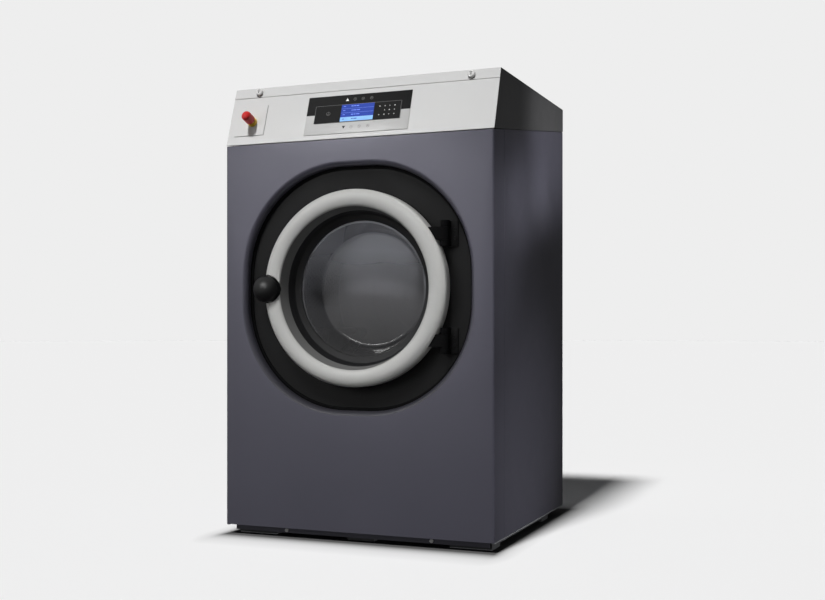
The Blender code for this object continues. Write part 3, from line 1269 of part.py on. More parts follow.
def bearing_housing():
    """The ribbed cast housing on the tub's back, and the two shaft bearings in it."""
    start = behind(TUB_FRONT + TUB_LENGTH + GAP)
    flange, thickness = HOUSING_FLANGE_THICKNESS, HOUSING_RIB_THICKNESS
    profile = [
        (BEARING_OUTER, 0), (HOUSING_FLANGE, 0), (HOUSING_FLANGE, flange), (HOUSING_HUB, flange),
        (HOUSING_HUB, HOUSING_LENGTH), (BEARING_OUTER, HOUSING_LENGTH),
    ]
    housing = turned("bearing_housing", profile, (0, start, DOOR_HEIGHT), "Y", CAST_IRON, steps=40)
    rib_foot, rib_end = HOUSING_HUB - thickness, HOUSING_FLANGE - thickness
    rib = [
        (rib_foot, flange / 2), (rib_end, flange / 2), (rib_end, flange + thickness),
        (rib_foot, HOUSING_LENGTH - thickness),
    ]
    for i in range(HOUSING_RIBS):
        angle = math.tau * i / HOUSING_RIBS
        join(housing, outline_plate(f"housing_rib_{i + 1}", [rib], thickness, (0, start, DOOR_HEIGHT),
                                    radial_axes(angle)))
    inner, outer = SHAFT_RADIUS + GAP, BEARING_OUTER - GAP
    third = (outer - inner) / 3
    for name, begin in (("bearing_front", BEARING_FRONT_START), ("bearing_rear", BEARING_REAR_START)):
        near, far = 0, BEARING_WIDTH
        ring = [
            (inner, near), (inner + third, near), (inner + third, near + BEARING_SHIELD),
            (outer - third, near + BEARING_SHIELD), (outer - third, near), (outer, near),
            (outer, far), (outer - third, far), (outer - third, far - BEARING_SHIELD),
            (inner + third, far - BEARING_SHIELD), (inner + third, far), (inner, far),
        ]
        turned(name, ring, (0, behind(begin), DOOR_HEIGHT), "Y", STEEL, steps=20)


def drum():
    """The drum shell, its lifters, and the spider and shaft that carry it."""
    corner, wall, end = DRUM_CORNER, DRUM_WALL, DRUM_LENGTH
    profile = [
        (DRUM_MOUTH, DRUM_LIP), (DRUM_MOUTH, wall), (DRUM_MOUTH + wall, 0), (DRUM_OUTER - corner, 0),
        (DRUM_OUTER, corner), (DRUM_OUTER, end - corner), (DRUM_OUTER - corner, end),
        (DRUM_HUB_HOLE, end), (DRUM_HUB_HOLE, end - wall), (DRUM_INNER - corner, end - wall),
        (DRUM_INNER, end - wall - corner), (DRUM_INNER, corner + wall), (DRUM_INNER - corner, wall),
        (DRUM_MOUTH + 2 * wall, wall), (DRUM_MOUTH + wall, 2 * wall), (DRUM_MOUTH + wall, DRUM_LIP),
    ]
    centre = (0, behind(DRUM_FRONT), DOOR_HEIGHT)
    turned("drum_shell", profile, centre, "Y", STAINLESS, steps=DRUM_SIDES)
    foot = DRUM_INNER * math.cos(math.pi / DRUM_SIDES) - GAP
    crest = foot - LIFTER_HEIGHT + LIFTER_CREST
    lifter_length = end - wall - corner - GAP - LIFTER_START
    middle = behind(DRUM_FRONT + LIFTER_START + lifter_length / 2)
    for i in range(LIFTER_COUNT):
        degrees = 90 + 360 * i / LIFTER_COUNT
        angle = math.radians(degrees)
        outline = arc(0, 0, foot, degrees - LIFTER_HALF_DEGREES, degrees + LIFTER_HALF_DEGREES, 4)
        crest_centre = (crest * math.cos(angle), crest * math.sin(angle))
        outline += arc(*crest_centre, LIFTER_CREST, degrees + 90, degrees + 270, 6)
        outline_plate(f"lifter_{i + 1}", [outline], lifter_length, (0, middle, DOOR_HEIGHT), "-Y",
                      STAINLESS)
    hub_start = end - wall
    back = end + GAP
    shaft_end = SHAFT_END - DRUM_FRONT
    hub_profile = [
        (0, hub_start), (DRUM_HUB_HOLE - GAP, hub_start), (DRUM_HUB_HOLE - GAP, back),
        (SPIDER_HUB, back), (SPIDER_HUB, back + SPIDER_HUB_LENGTH),
        (SHAFT_RADIUS, back + SPIDER_HUB_LENGTH), (SHAFT_RADIUS, shaft_end), (0, shaft_end),
    ]
    spider = turned("drum_spider", hub_profile, centre, "Y", CAST_IRON, steps=32, closed=False)
    arm = [
        (SHAFT_RADIUS / 2, back), (SPIDER_ARM_REACH, back), (SPIDER_ARM_REACH, back + SPIDER_TIP_DEPTH),
        (SHAFT_RADIUS / 2, back + SPIDER_HUB_LENGTH - wall),
    ]
    for i in range(LIFTER_COUNT):
        angle = math.radians(90) + math.tau * i / LIFTER_COUNT
        join(spider, outline_plate(f"spider_arm_{i + 1}", [arm], SPIDER_ARM_WIDTH, centre,
                                   radial_axes(angle)))


def drive():
    """The drum pulley, the belt, the motor and its own shaft and pulley."""
    start, width = PULLEY_START, PULLEY_WIDTH
    web_low, web_high = (width - PULLEY_WEB) / 2, (width + PULLEY_WEB) / 2
    rim = PULLEY_RADIUS - PULLEY_RIM
    bore = SHAFT_RADIUS + GAP
    profile = [
        (bore, 0), (PULLEY_HUB, 0), (PULLEY_HUB, web_low), (rim, web_low), (rim, 0),
        (PULLEY_RADIUS, 0), (PULLEY_RADIUS, width), (rim, width), (rim, web_high),
        (PULLEY_HUB, web_high), (PULLEY_HUB, width), (bore, width),
    ]
    pulley = turned("drum_pulley", profile, (0, behind(start), DOOR_HEIGHT), "Y", CAST_IRON, steps=40)
    for i in range(PULLEY_HOLES):
        angle = math.tau * i / PULLEY_HOLES
        centre = (PULLEY_HOLE_CIRCLE * math.cos(angle), behind(PULLEY_MIDDLE),
                  DOOR_HEIGHT + PULLEY_HOLE_CIRCLE * math.sin(angle))
        cut(pulley, cylinder(f"pulley_hole_{i + 1}", centre, "Y", PULLEY_HOLE_RADIUS, 2 * width, sides=16))
    run = math.hypot(MOTOR_X, DOOR_HEIGHT - MOTOR_HEIGHT)
    lean = math.degrees(math.atan2(MOTOR_HEIGHT - DOOR_HEIGHT, MOTOR_X))
    wrap = math.degrees(math.acos((PULLEY_RADIUS - MOTOR_PULLEY_RADIUS) / run))
    loops = []
    for lift in (GAP + BELT_THICKNESS, GAP):
        loop = arc(0, DOOR_HEIGHT, PULLEY_RADIUS + lift, lean + wrap, lean + 360 - wrap, 40)
        loop += arc(MOTOR_X, MOTOR_HEIGHT, MOTOR_PULLEY_RADIUS + lift, lean - wrap, lean + wrap, 12)
        loops.append(loop)
    outline_plate("drive_belt", loops, BELT_WIDTH, (0, behind(PULLEY_MIDDLE), 0), "-Y", RUBBER)
    length, radius = MOTOR_LENGTH, MOTOR_RADIUS
    body_profile = [
        (0, 0), (MOTOR_NOSE, 0), (radius - MOTOR_BELL / 2, MOTOR_BELL / 2), (radius, MOTOR_BELL),
        (radius, length - MOTOR_BELL), (radius - MOTOR_BELL / 2, length - MOTOR_BELL / 2),
        (MOTOR_NOSE, length), (MOTOR_SHAFT + GAP, length), (MOTOR_SHAFT + GAP, length - MOTOR_SHAFT_GRIP),
        (0, length - MOTOR_SHAFT_GRIP),
    ]
    turned("motor_body", body_profile, (MOTOR_X, behind(MOTOR_FRONT), MOTOR_HEIGHT), "Y", CAST_IRON,
           steps=48, closed=False)
    near = MOTOR_FRONT + length - MOTOR_SHAFT_GRIP + GAP
    pulley_near = PULLEY_MIDDLE - MOTOR_PULLEY_WIDTH / 2
    pulley_far = PULLEY_MIDDLE + MOTOR_PULLEY_WIDTH / 2
    tip = pulley_far + MOTOR_SHAFT / 2
    rotor_profile = [
        (0, near), (MOTOR_SHAFT, near), (MOTOR_SHAFT, pulley_near),
        (MOTOR_PULLEY_RADIUS, pulley_near), (MOTOR_PULLEY_RADIUS, pulley_far),
        (MOTOR_SHAFT, pulley_far), (MOTOR_SHAFT, tip), (0, tip),
    ]
    turned("motor_rotor", rotor_profile, (MOTOR_X, behind(0), MOTOR_HEIGHT), "Y", STEEL, steps=32,
           closed=False)


def drain():
    """The drain valve under the tub, the disc that shuts it, and the pipe to the back of the machine."""
    y = behind(DRAIN_SETBACK)
    top = DOOR_HEIGHT - TUB_OUTER + LEG_BITE / 2
    profile = [
        (DRAIN_BORE, 0), (DRAIN_VALVE_RADIUS, 0), (DRAIN_VALVE_RADIUS, top - DRAIN_VALVE_LOW),
        (DRAIN_BORE, top - DRAIN_VALVE_LOW),
    ]
    valve = turned("drain_valve", profile, (DRAIN_X, y, DRAIN_VALVE_LOW), "Z", BLACK_PLASTIC, steps=32)
    wall = (DRAIN_BORE + DRAIN_VALVE_RADIUS) / 2
    disc_centre = (DRAIN_X, y, DRAIN_DISC_HEIGHT)
    half_width, half_height = ACTUATOR_WIDTH / 2, ACTUATOR_HEIGHT / 2
    low = (DRAIN_X + wall, y - half_width, DRAIN_DISC_HEIGHT - half_height)
    high = (DRAIN_X + wall + ACTUATOR_LENGTH, y + half_width, DRAIN_DISC_HEIGHT + half_height)
    join(valve, box("drain_actuator", low, high))
    cut(valve, cylinder("valve_seat", (0, y, DOOR_HEIGHT), "Y", TUB_OUTER + GAP, TUB_LENGTH,
                        sides=TUB_SIDES))
    disc = cylinder("drain_disc", disc_centre, "Z", DRAIN_DISC_RADIUS, DRAIN_DISC_THICKNESS, BRASS)
    join(disc, cylinder("drain_spindle", disc_centre, "X", DRAIN_SPINDLE, 2 * (DRAIN_BORE - GAP),
                        sides=12))
    bend_centre = (y + DRAIN_BEND, DRAIN_PIPE_HEIGHT + DRAIN_BEND)
    bend = arc(*bend_centre, DRAIN_BEND, 180, 270, 6)
    start, end = DRAIN_VALVE_LOW - GAP, BACK_Y + REAR_REACH
    curve = [(DRAIN_X, py, pz) for py, pz in bend]
    route = [(DRAIN_X, y, start)] + curve + [(DRAIN_X, end, DRAIN_PIPE_HEIGHT)]
    pipe = tube("drain_pipe", route, DRAIN_PIPE_RADIUS, RUBBER, resolution=6)
    inner_route = [(DRAIN_X, y, start + OVERRUN)] + curve + [(DRAIN_X, end + OVERRUN, DRAIN_PIPE_HEIGHT)]
    cut(pipe, tube("drain_pipe_bore", inner_route, DRAIN_PIPE_BORE, None, resolution=6))
    smooth(pipe, 50)


def knob_notch(name):
    """The round hollow in the door's front that the knob turns in."""
    depth = KNOB_SEAT + RING_PROUD + OVERRUN
    centre = (KNOB_X, behind(KNOB_SEAT - depth / 2), DOOR_HEIGHT)
    return cylinder(name, centre, "Y", KNOB_NOTCH, depth, sides=36)


def door_leaf():
    """The door: its ring, the bezel and clamp that hold the glass bowl, and two hinge arms."""
    centre = (0, behind(0), DOOR_HEIGHT)
    crest_out = [(x, -y) for x, y in ellipse(RING_CREST, RING_SHOULDER, RING_OUTER - RING_CREST,
                                             RING_PROUD - RING_SHOULDER, 0, 90, 5)]
    crest_in = [(x, -y) for x, y in ellipse(RING_CREST, RING_LIP, RING_CREST - RING_INNER,
                                            RING_PROUD - RING_LIP, 90, 180, 5)]
    profile = [(RING_OUTER, RING_BACK)] + crest_out + crest_in[1:] + [(RING_INNER + GAP, RING_BACK)]
    ring = turned("door_ring", profile, centre, "Y", RING_GREY, steps=RING_SIDES)
    cut(ring, knob_notch("ring_notch"))
    cut(ring, cylinder("spindle_bore", (KNOB_X, behind(0), DOOR_HEIGHT), "Y", SPINDLE_RADIUS + GAP,
                       2 * (RING_BACK + OVERRUN), sides=20))
    bezel_profile = [
        (RING_INNER - GAP, -BEZEL_FRONT), (BEZEL_CONE_RADIUS, BEZEL_CONE_DEPTH),
        (BEZEL_CONE_RADIUS - GLASS_WALL, BEZEL_CONE_DEPTH + GLASS_CORNER),
        (BEZEL_GLASS_RADIUS, BEZEL_GLASS_DEPTH), (BEZEL_GLASS_RADIUS, BEZEL_BACK),
        (BEZEL_BODY, BEZEL_BACK), (BEZEL_BODY, RING_BACK + GLASS_WALL), (RING_INNER - GAP, RING_BACK),
    ]
    bezel = turned("door_bezel", bezel_profile, centre, "Y", BLACK_PLASTIC, steps=RING_SIDES)
    cut(bezel, knob_notch("bezel_notch"))
    rim = BEZEL_BACK + GAP
    corner = arc(GLASS_END - GLASS_CORNER, GLASS_DEPTH - GLASS_CORNER, GLASS_CORNER, 90, 0, 4)
    glass_profile = [(0, GLASS_DEPTH)] + corner + [
        (GLASS_SHOULDER, rim + GLASS_RIM_THICKNESS), (GLASS_RIM, rim + GLASS_RIM_THICKNESS),
        (GLASS_RIM, rim), (GLASS_SHOULDER - GLASS_WALL, rim),
        (GLASS_END - GLASS_WALL, GLASS_DEPTH - GLASS_CORNER),
        (GLASS_END - GLASS_CORNER, GLASS_DEPTH - GLASS_WALL), (0, GLASS_DEPTH - GLASS_WALL),
    ]
    turned("door_glass", glass_profile, centre, "Y", GLASS, steps=RING_SIDES, closed=False)
    clamp_low = rim + GLASS_RIM_THICKNESS + GAP
    clamp_high = clamp_low + CLAMP_THICKNESS - GAP
    clamp_profile = [
        (CLAMP_INNER, clamp_low), (GLASS_RIM, clamp_low), (GLASS_RIM, clamp_high), (CLAMP_INNER, clamp_high),
    ]
    turned("glass_clamp", clamp_profile, centre, "Y", STAINLESS, steps=TUB_SIDES)
    for side, label in ((1, "upper"), (-1, "lower")):
        z = DOOR_HEIGHT + side * HINGE_OFFSET
        axis_y = behind(HINGE_SETBACK)
        half = HINGE_ARM_HEIGHT / 2
        arm = box(f"hinge_arm_{label}", (HINGE_ARM_X, axis_y - HINGE_KNUCKLE, z - half),
                  (HINGE_X, axis_y + HINGE_KNUCKLE, z + half), BLACK_PLASTIC)
        join(arm, cylinder(f"arm_knuckle_{label}", (HINGE_X, axis_y, z), "Z", HINGE_KNUCKLE,
                           HINGE_ARM_HEIGHT, sides=24))
        cut(arm, cylinder(f"arm_seat_{label}", (0, axis_y, DOOR_HEIGHT), "Y", RING_OUTER + GAP,
                          4 * HINGE_KNUCKLE, sides=RING_SIDES))
        cut(arm, cylinder(f"arm_bore_{label}", (HINGE_X, axis_y, z), "Z", HINGE_PIN + GAP,
                          2 * HINGE_ARM_HEIGHT, sides=20))


def hinge_brackets():
    """The fixed hinge brackets on the surround plate, each with two lugs and the pin between them."""
    for side, label in ((1, "upper"), (-1, "lower")):
        z = DOOR_HEIGHT + side * HINGE_OFFSET
        axis_y = behind(HINGE_SETBACK)
        back = behind(SURROUND_FRONT) - GAP
        reach = HINGE_ARM_HEIGHT / 2 + GAP + HINGE_LUG_HEIGHT
        bracket = box(f"hinge_bracket_{label}", (HINGE_LEAF_X, back - HINGE_LEAF_THICKNESS, z - reach),
                      (HINGE_LEAF_X + HINGE_LEAF_WIDTH, back, z + reach), BLACK_PLASTIC)
        for end in (-1, 1):
            lug_z = z + end * (reach - HINGE_LUG_HEIGHT / 2)
            half, half_web = HINGE_LUG_HEIGHT / 2, HINGE_KNUCKLE * LUG_WEB_SHARE
            low = (HINGE_X - half_web, axis_y, lug_z - half)
            high = (HINGE_X + half_web, back - HINGE_LEAF_THICKNESS / 2, lug_z + half)
            join(bracket, box(f"lug_web_{label}_{end}", low, high))
            join(bracket, cylinder(f"lug_{label}_{end}", (HINGE_X, axis_y, lug_z), "Z", HINGE_KNUCKLE,
                                   HINGE_LUG_HEIGHT - GAP, sides=24))
        join(bracket, cylinder(f"hinge_pin_{label}", (HINGE_X, axis_y, z), "Z", HINGE_PIN,
                               2 * reach - HINGE_PIN, sides=16))


def knob_and_latch():
    """The round knob on the door's edge, and the spindle with the catch behind the surround plate."""
    seat = KNOB_SEAT - GAP
    crown = ellipse(0, FRONT_REACH - KNOB_CROWN, KNOB_RADIUS, KNOB_CROWN, 0, 90, 8)
    bore = SPINDLE_RADIUS + GAP
    profile = [(0, seat - KNOB_SOCKET), (bore, seat - KNOB_SOCKET), (bore, seat), (KNOB_RADIUS, seat)]
    profile += [(x, -y) for x, y in crown[:-1]] + [(0, -FRONT_REACH)]
    centre = (KNOB_X, behind(0), DOOR_HEIGHT)
    turned("door_knob", profile, centre, "Y", BLACK_PLASTIC, steps=36, closed=False)
    catch_back = CATCH_START + CATCH_THICKNESS
    near = seat - KNOB_SOCKET + GAP
    spindle_profile = [(0, near), (SPINDLE_RADIUS, near), (SPINDLE_RADIUS, catch_back), (0, catch_back)]
    catch = turned("latch_cam", spindle_profile, centre, "Y", STEEL, steps=20, closed=False)
    sink = CATCH_THICKNESS * CAM_SINK_SHARE
    half_width, half_length = CATCH_WIDTH / 2, CATCH_LENGTH / 2
    low = (KNOB_X - half_width, behind(CATCH_START), DOOR_HEIGHT - half_length)
    high = (KNOB_X + half_width, behind(catch_back - sink), DOOR_HEIGHT + half_length)
    join(catch, box("catch_bar", low, high))


def lock_housing():
    """The door lock's housing behind the surround plate, hollow where the catch turns."""
    front = behind(SURROUND_BACK) + GAP
    half = HOUSING_HALF_HEIGHT
    housing = box("lock_housing", (HOUSING_X0, front, DOOR_HEIGHT - half),
                  (HOUSING_X1, front + HOUSING_DEPTH, DOOR_HEIGHT + half), BLACK_PLASTIC)
    low = (HOUSING_X0 + HOUSING_WALL, front - OVERRUN, DOOR_HEIGHT - HOUSING_CAVITY_HALF)
    high = (HOUSING_X1 + OVERRUN, behind(HOUSING_CAVITY_BACK), DOOR_HEIGHT + HOUSING_CAVITY_HALF)
    cut(housing, box("catch_room", low, high))


def pivot(name, position, members):
    """An empty on a joint's axis that carries the pieces which move about it, with their cutters."""
    empty = bpy.data.objects.new(name, None)
    empty.location = position
    parts.objects.link(empty)
    bpy.context.view_layer.update()
    waiting = [bpy.data.objects[member] for member in members]
    while waiting:
        piece = waiting.pop()
        if piece.parent is None and piece is not empty:
            piece.parent = empty
            piece.matrix_parent_inverse = empty.matrix_world.inverted()
        waiting += [m.object for m in piece.modifiers if m.type == "BOOLEAN" and m.object.parent is None]
    return empty


def pivots():
    """The joint axes. Each empty's name says what turns or slides there."""
    hinge = (HINGE_X, behind(HINGE_SETBACK), DOOR_HEIGHT)
    leaf = ["door_ring", "door_bezel", "door_glass", "glass_clamp", "hinge_arm_upper", "hinge_arm_lower"]
    door = pivot("door_pivot", hinge, leaf)
    latch = pivot("latch_pivot", (KNOB_X, behind(0), DOOR_HEIGHT), ["door_knob", "latch_cam"])
    drum_axis = (0, behind(DRUM_FRONT), DOOR_HEIGHT)
    pivot("drum_pivot", drum_axis, ["drum_shell", "drum_spider", "drum_pulley"]
          + [f"lifter_{i + 1}" for i in range(LIFTER_COUNT)])
    pivot("motor_pivot", (MOTOR_X, behind(PULLEY_MIDDLE), MOTOR_HEIGHT), ["motor_rotor"])
    pivot("drain_pivot", (DRAIN_X, behind(DRAIN_SETBACK), DRAIN_DISC_HEIGHT), ["drain_disc"])
    lid = pivot("lid_pivot", (0, LID_AXIS_Y, LID_AXIS_HEIGHT), ["top_lid", "lid_strip"])
    flap = pivot("flap_pivot", ((FLAP_X0 + FLAP_X1) / 2, FLAP_AXIS_Y, FLAP_AXIS_HEIGHT), ["soap_flap"])
    stem = pivot("stop_slide", on_slant(STOP_X, STOP_UP, 0), ["stop_stem"])
    head = pivot("stop_twist", on_slant(STOP_X, STOP_UP, 0), ["stop_head"])
    carried = [(latch, door), (flap, lid), (head, stem)]
    for side, label in ((-1, "left"), (1, "right")):
        axis = on_slant(side * LOCK_X, SLANT_LENGTH - LOCK_DROP, 0)
        carried.append((pivot(f"lock_pivot_{label}", axis, [f"lid_lock_{label}"]), lid))
    for child, parent in carried:
        child.parent = parent
        child.matrix_parent_inverse = parent.matrix_world.inverted()


def build():
    global parts, cutters
    clear_scene()
    parts = make_collection("washer_extractor")
    cutters = make_collection("cutters")
    for make in (
        base_frame, plinth_strip, front_panel, door_surround, side_panels, rear_panel, top_shelf,
        hood_cheeks, console_panel, display_frame, stop_button, top_lid, lid_strip, lid_locks,
        soap_flap, soap_box, control_box, inlet_valves, fill_hose, outer_tub, tub_front, tub_legs,
        door_gasket, bearing_housing, drum, drive, drain, door_leaf, hinge_brackets, knob_and_latch,
        lock_housing, pivots,
    ):
        make()


build()
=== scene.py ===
"""Looks for a front-loading washer-extractor: finer pieces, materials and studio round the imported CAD."""
import math

import bmesh
import bpy
from mathutils import Matrix, Vector


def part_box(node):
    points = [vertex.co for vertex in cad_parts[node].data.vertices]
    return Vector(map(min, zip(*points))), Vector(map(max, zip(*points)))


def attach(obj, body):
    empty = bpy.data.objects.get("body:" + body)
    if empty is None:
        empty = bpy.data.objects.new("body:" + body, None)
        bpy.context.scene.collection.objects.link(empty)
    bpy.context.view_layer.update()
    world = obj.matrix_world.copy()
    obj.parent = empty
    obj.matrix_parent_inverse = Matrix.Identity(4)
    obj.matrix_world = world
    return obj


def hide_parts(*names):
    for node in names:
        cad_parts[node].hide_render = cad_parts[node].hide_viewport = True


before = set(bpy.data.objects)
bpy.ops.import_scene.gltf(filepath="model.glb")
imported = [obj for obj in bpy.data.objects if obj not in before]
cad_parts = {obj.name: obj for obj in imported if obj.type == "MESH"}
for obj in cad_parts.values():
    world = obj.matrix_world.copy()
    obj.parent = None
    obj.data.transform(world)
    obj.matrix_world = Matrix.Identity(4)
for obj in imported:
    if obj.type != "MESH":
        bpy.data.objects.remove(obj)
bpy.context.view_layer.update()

# Sizes repeated from the CAD, in metres
GAP = 0.0003
HALF_WIDTH = 0.355
CABINET_DEPTH = 0.623
FRONT_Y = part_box("front_panel")[0][1]
PANEL_BOTTOM = 0.025
SLANT_FOOT = 0.979
HEIGHT = 1.13
SLANT_SETBACK = 0.0516
SLANT_RISE = HEIGHT - SLANT_FOOT
BACK_HEIGHT = 1.068
DOOR_HEIGHT = 0.616
SHEET = 0.002
RECESS_HALF = 0.31
RECESS_CORNER = 0.275
RECESS_ROLL = 0.013
RECESS_DEPTH = 0.0247
PANEL_RETURN = 0.075
PANEL_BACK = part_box("side_panel_right")[1][1]
PLINTH_SETBACK = 0.02
PLINTH_SCREW_X = 0.193
PLINTH_SCREW_HEIGHT = 0.0165
PAD_OUTER = 0.3367
PAD_LENGTH = 0.105
PAD_SETBACK = 0.04
HINGE_X = 0.232
HINGE_Y = FRONT_Y + 0.005
HINGE_OFFSET = 0.126
KNOB_X = -0.2295


def behind(distance):
    """World Y of a plane this far behind the front panel's face."""
    return FRONT_Y + distance


# Node materials

MICRON = 0.000001
NOISE_LOW, NOISE_HIGH = 0.3, 0.7
SMOOTHEST = 0.02
SCREEN_GLOW = 0.22
# Painted reflection on the glass: its colour runs from dark below to pale near the top, a little paler to
# the right.
GLASS_LEAN = 0.05
GLASS_SPAN = (DOOR_HEIGHT - 0.15, DOOR_HEIGHT + 0.13)
GLASS_REFLECTION_NOISE = (9.0, 0.12)
GLASS_REFLECTION_TONES = ((0.1, (0.036, 0.036, 0.037)), (0.52, (0.084, 0.084, 0.09)), (0.95, (0.39, 0.398, 0.44)))
# Painted shade in the recess: its paint darkens from the top towards the foot.
RECESS_SPAN = (DOOR_HEIGHT - 0.26, DOOR_HEIGHT + 0.1)
RECESS_SHADE_NOISE = (60.0, 0.1)
RECESS_SHADE_TONES = ((0.1, (0.036, 0.0353, 0.043)), (1.0, (0.083, 0.0813, 0.106)))


def feed(tree, socket, value):
    """Links an output to a socket, or sets the socket to a value."""
    if isinstance(value, bpy.types.NodeSocket):
        tree.links.new(value, socket)
    else:
        socket.default_value = value


def node(tree, kind, **settings):
    """Adds a shader node. Settings that name a socket feed it, and the others set the node itself."""
    made = tree.nodes.new(kind)
    for key, value in settings.items():
        socket = made.inputs.get(key.replace("_", " "))
        if socket is None:
            setattr(made, key, value)
        else:
            feed(tree, socket, value)
    return made


def toned(tree, level, tones):
    """The colour that a row of tones, each at its own place from 0 to 1, gives this level."""
    ramp = node(tree, "ShaderNodeValToRGB", Fac=level)
    while len(ramp.color_ramp.elements) < len(tones):
        ramp.color_ramp.elements.new(0.5)
    for element, (position, color) in zip(ramp.color_ramp.elements, tones):
        element.position = position
        element.color = (*color, 1)
    return ramp.outputs["Color"]


def base_material(name, roughness, metallic=0.0, **sockets):
    """A Principled material and its tree, with the sockets that are the same all over set on the shader."""
    material = bpy.data.materials.new(name)
    material.use_nodes = True
    tree = material.node_tree
    shader = tree.nodes["Principled BSDF"]
    shader.inputs["Roughness"].default_value = roughness
    shader.inputs["Metallic"].default_value = metallic
    for socket, value in sockets.items():
        shader.inputs[socket.replace("_", " ")].default_value = value
    return material, tree, shader


def vary_color(tree, shader, color, drift, coords):
    """Drifts the base colour slightly from place to place, by a share and a noise scale."""
    share, scale = drift
    noise = node(tree, "ShaderNodeTexNoise", Vector=coords, Scale=scale, Detail=4.0, Roughness=0.6)
    low = [max(part * (1 - share), 0) for part in color]
    high = [min(part * (1 + share), 1) for part in color]
    drifted = toned(tree, noise.outputs["Fac"], ((NOISE_LOW, low), (NOISE_HIGH, high)))
    tree.links.new(drifted, shader.inputs["Base Color"])
    return drifted


def vary_gloss(tree, shader, roughness, spread, coords, scale=9.0):
    """Breaks the gloss up with soft wipe marks and handling."""
    noise = node(tree, "ShaderNodeTexNoise", Vector=coords, Scale=scale, Detail=5.0, Distortion=0.6)
    reach = node(tree, "ShaderNodeMapRange", Value=noise.outputs["Fac"], From_Min=NOISE_LOW,
                 From_Max=NOISE_HIGH, To_Min=max(roughness - spread, SMOOTHEST), To_Max=roughness + spread)
    tree.links.new(reach.outputs["Result"], shader.inputs["Roughness"])


def relief(tree, shader, coords, grain=(900, 20)):
    """The fine relief of paint, moulded plastic or cast metal, by a noise scale and a height in microns."""
    scale, microns = grain
    noise = node(tree, "ShaderNodeTexNoise", Vector=coords, Scale=scale, Detail=2.0)
    bump = node(tree, "ShaderNodeBump", Height=noise.outputs["Fac"], Distance=microns * MICRON)
    tree.links.new(bump.outputs["Normal"], shader.inputs["Normal"])


def object_coords(tree, stretch=None):
    """Coordinates in metres on the object, stretched along an axis for brushed and drawn metal."""
    coords = node(tree, "ShaderNodeTexCoord").outputs["Object"]
    if stretch is None:
        return coords
    return node(tree, "ShaderNodeMapping", Vector=coords, Scale=stretch).outputs["Vector"]


def surface(name, color, roughness, metallic=0.0, drift=(0.05, 6.0), gloss_spread=0.05, grain=(900, 20),
            stretch=None, **sockets):
    """The general material of this model: drifting colour, uneven gloss and a fine grain."""
    material, tree, shader = base_material(name, roughness, metallic, **sockets)
    coords = object_coords(tree)
    vary_color(tree, shader, color, drift, coords)
    vary_gloss(tree, shader, roughness, gloss_spread, coords)
    relief(tree, shader, object_coords(tree, stretch), grain)
    return material


def print_ink(name, color, roughness=0.6):
    return surface(name, color, roughness, grain=(900, 4))


def tone_by_height(tree, shader, coords, span, step_noise, tones, lean=0.0):
    """Colours a piece through a row of tones between two heights, with noise that breaks the steps up. Here
    it paints light and shade by height: a reflection on the glass and shade in the recess.
    """
    scale, share = step_noise
    height = node(tree, "ShaderNodeVectorMath", operation="DOT_PRODUCT", Vector=coords)
    height.inputs[1].default_value = (lean, 0.0, 1.0)
    level = node(tree, "ShaderNodeMapRange", Value=height.outputs["Value"], From_Min=span[0],
                 From_Max=span[1])
    noise = node(tree, "ShaderNodeTexNoise", Vector=coords, Scale=scale)
    mixed = node(tree, "ShaderNodeMath", operation="MULTIPLY_ADD", Value=noise.outputs["Fac"])
    feed(tree, mixed.inputs[1], share)
    feed(tree, mixed.inputs[2], level.outputs["Result"])
    tree.links.new(toned(tree, mixed.outputs["Value"], tones), shader.inputs["Base Color"])


def glass_material():
    """Thick tinted glass with faint cleaning marks, and a painted reflection in its colour that is palest
    near its top.
    """
    material, tree, shader = base_material("bowl_glass", 0.03, IOR=1.5, Alpha=0.55, Coat_Weight=1.0,
                                           Coat_Roughness=0.03)
    coords = object_coords(tree)
    vary_gloss(tree, shader, 0.05, 0.03, coords, 14.0)
    tone_by_height(tree, shader, coords, GLASS_SPAN, GLASS_REFLECTION_NOISE, GLASS_REFLECTION_TONES, GLASS_LEAN)
    return material


def recess_shade_material():
    """The cabinet's paint in the rolled recess, with painted shade that darkens it towards its foot."""
    material, tree, shader = base_material("recess_paint_with_painted_shade", 0.4, 0.3)
    coords = object_coords(tree)
    tone_by_height(tree, shader, coords, RECESS_SPAN, RECESS_SHADE_NOISE, RECESS_SHADE_TONES)
    relief(tree, shader, coords)
    return material


def lit_material(name, color):
    """A lit part of the screen, a little uneven as its lamp lights it."""
    material, tree, shader = base_material(name, 0.25, Emission_Strength=SCREEN_GLOW)
    drifted = vary_color(tree, shader, color, (0.06, 30.0), object_coords(tree))
    tree.links.new(drifted, shader.inputs["Emission Color"])
    return material


PAINT = surface("cabinet_paint", (0.083, 0.0813, 0.106), 0.36, 0.35, drift=(0.04, 2.5), gloss_spread=0.03,
                grain=(1400, 12), Coat_Weight=0.15, Coat_Roughness=0.25)
DARK_PAINT = surface("hood_paint", (0.065, 0.065, 0.067), 0.42, 0.2, grain=(1500, 20))
LIGHT_PANEL = surface("console_face", (0.607, 0.607, 0.603), 0.4, drift=(0.015, 3.0), gloss_spread=0.02,
                      grain=(1800, 4))
BLACK = surface("black_moulding", (0.007, 0.007, 0.0075), 0.48, grain=(2200, 30))
BLACK_GLOSS = surface("black_gloss", (0.006, 0.006, 0.007), 0.16, gloss_spread=0.03, grain=(800, 4),
                      Coat_Weight=0.5, Coat_Roughness=0.06)
DARK_CONE = surface("door_cone", (0.11, 0.11, 0.108), 0.5, grain=(2200, 30))
RING = surface("door_ring_paint", (0.375, 0.375, 0.365), 0.38, drift=(0.02, 6.0), grain=(1600, 15),
               Coat_Weight=0.15, Coat_Roughness=0.3)
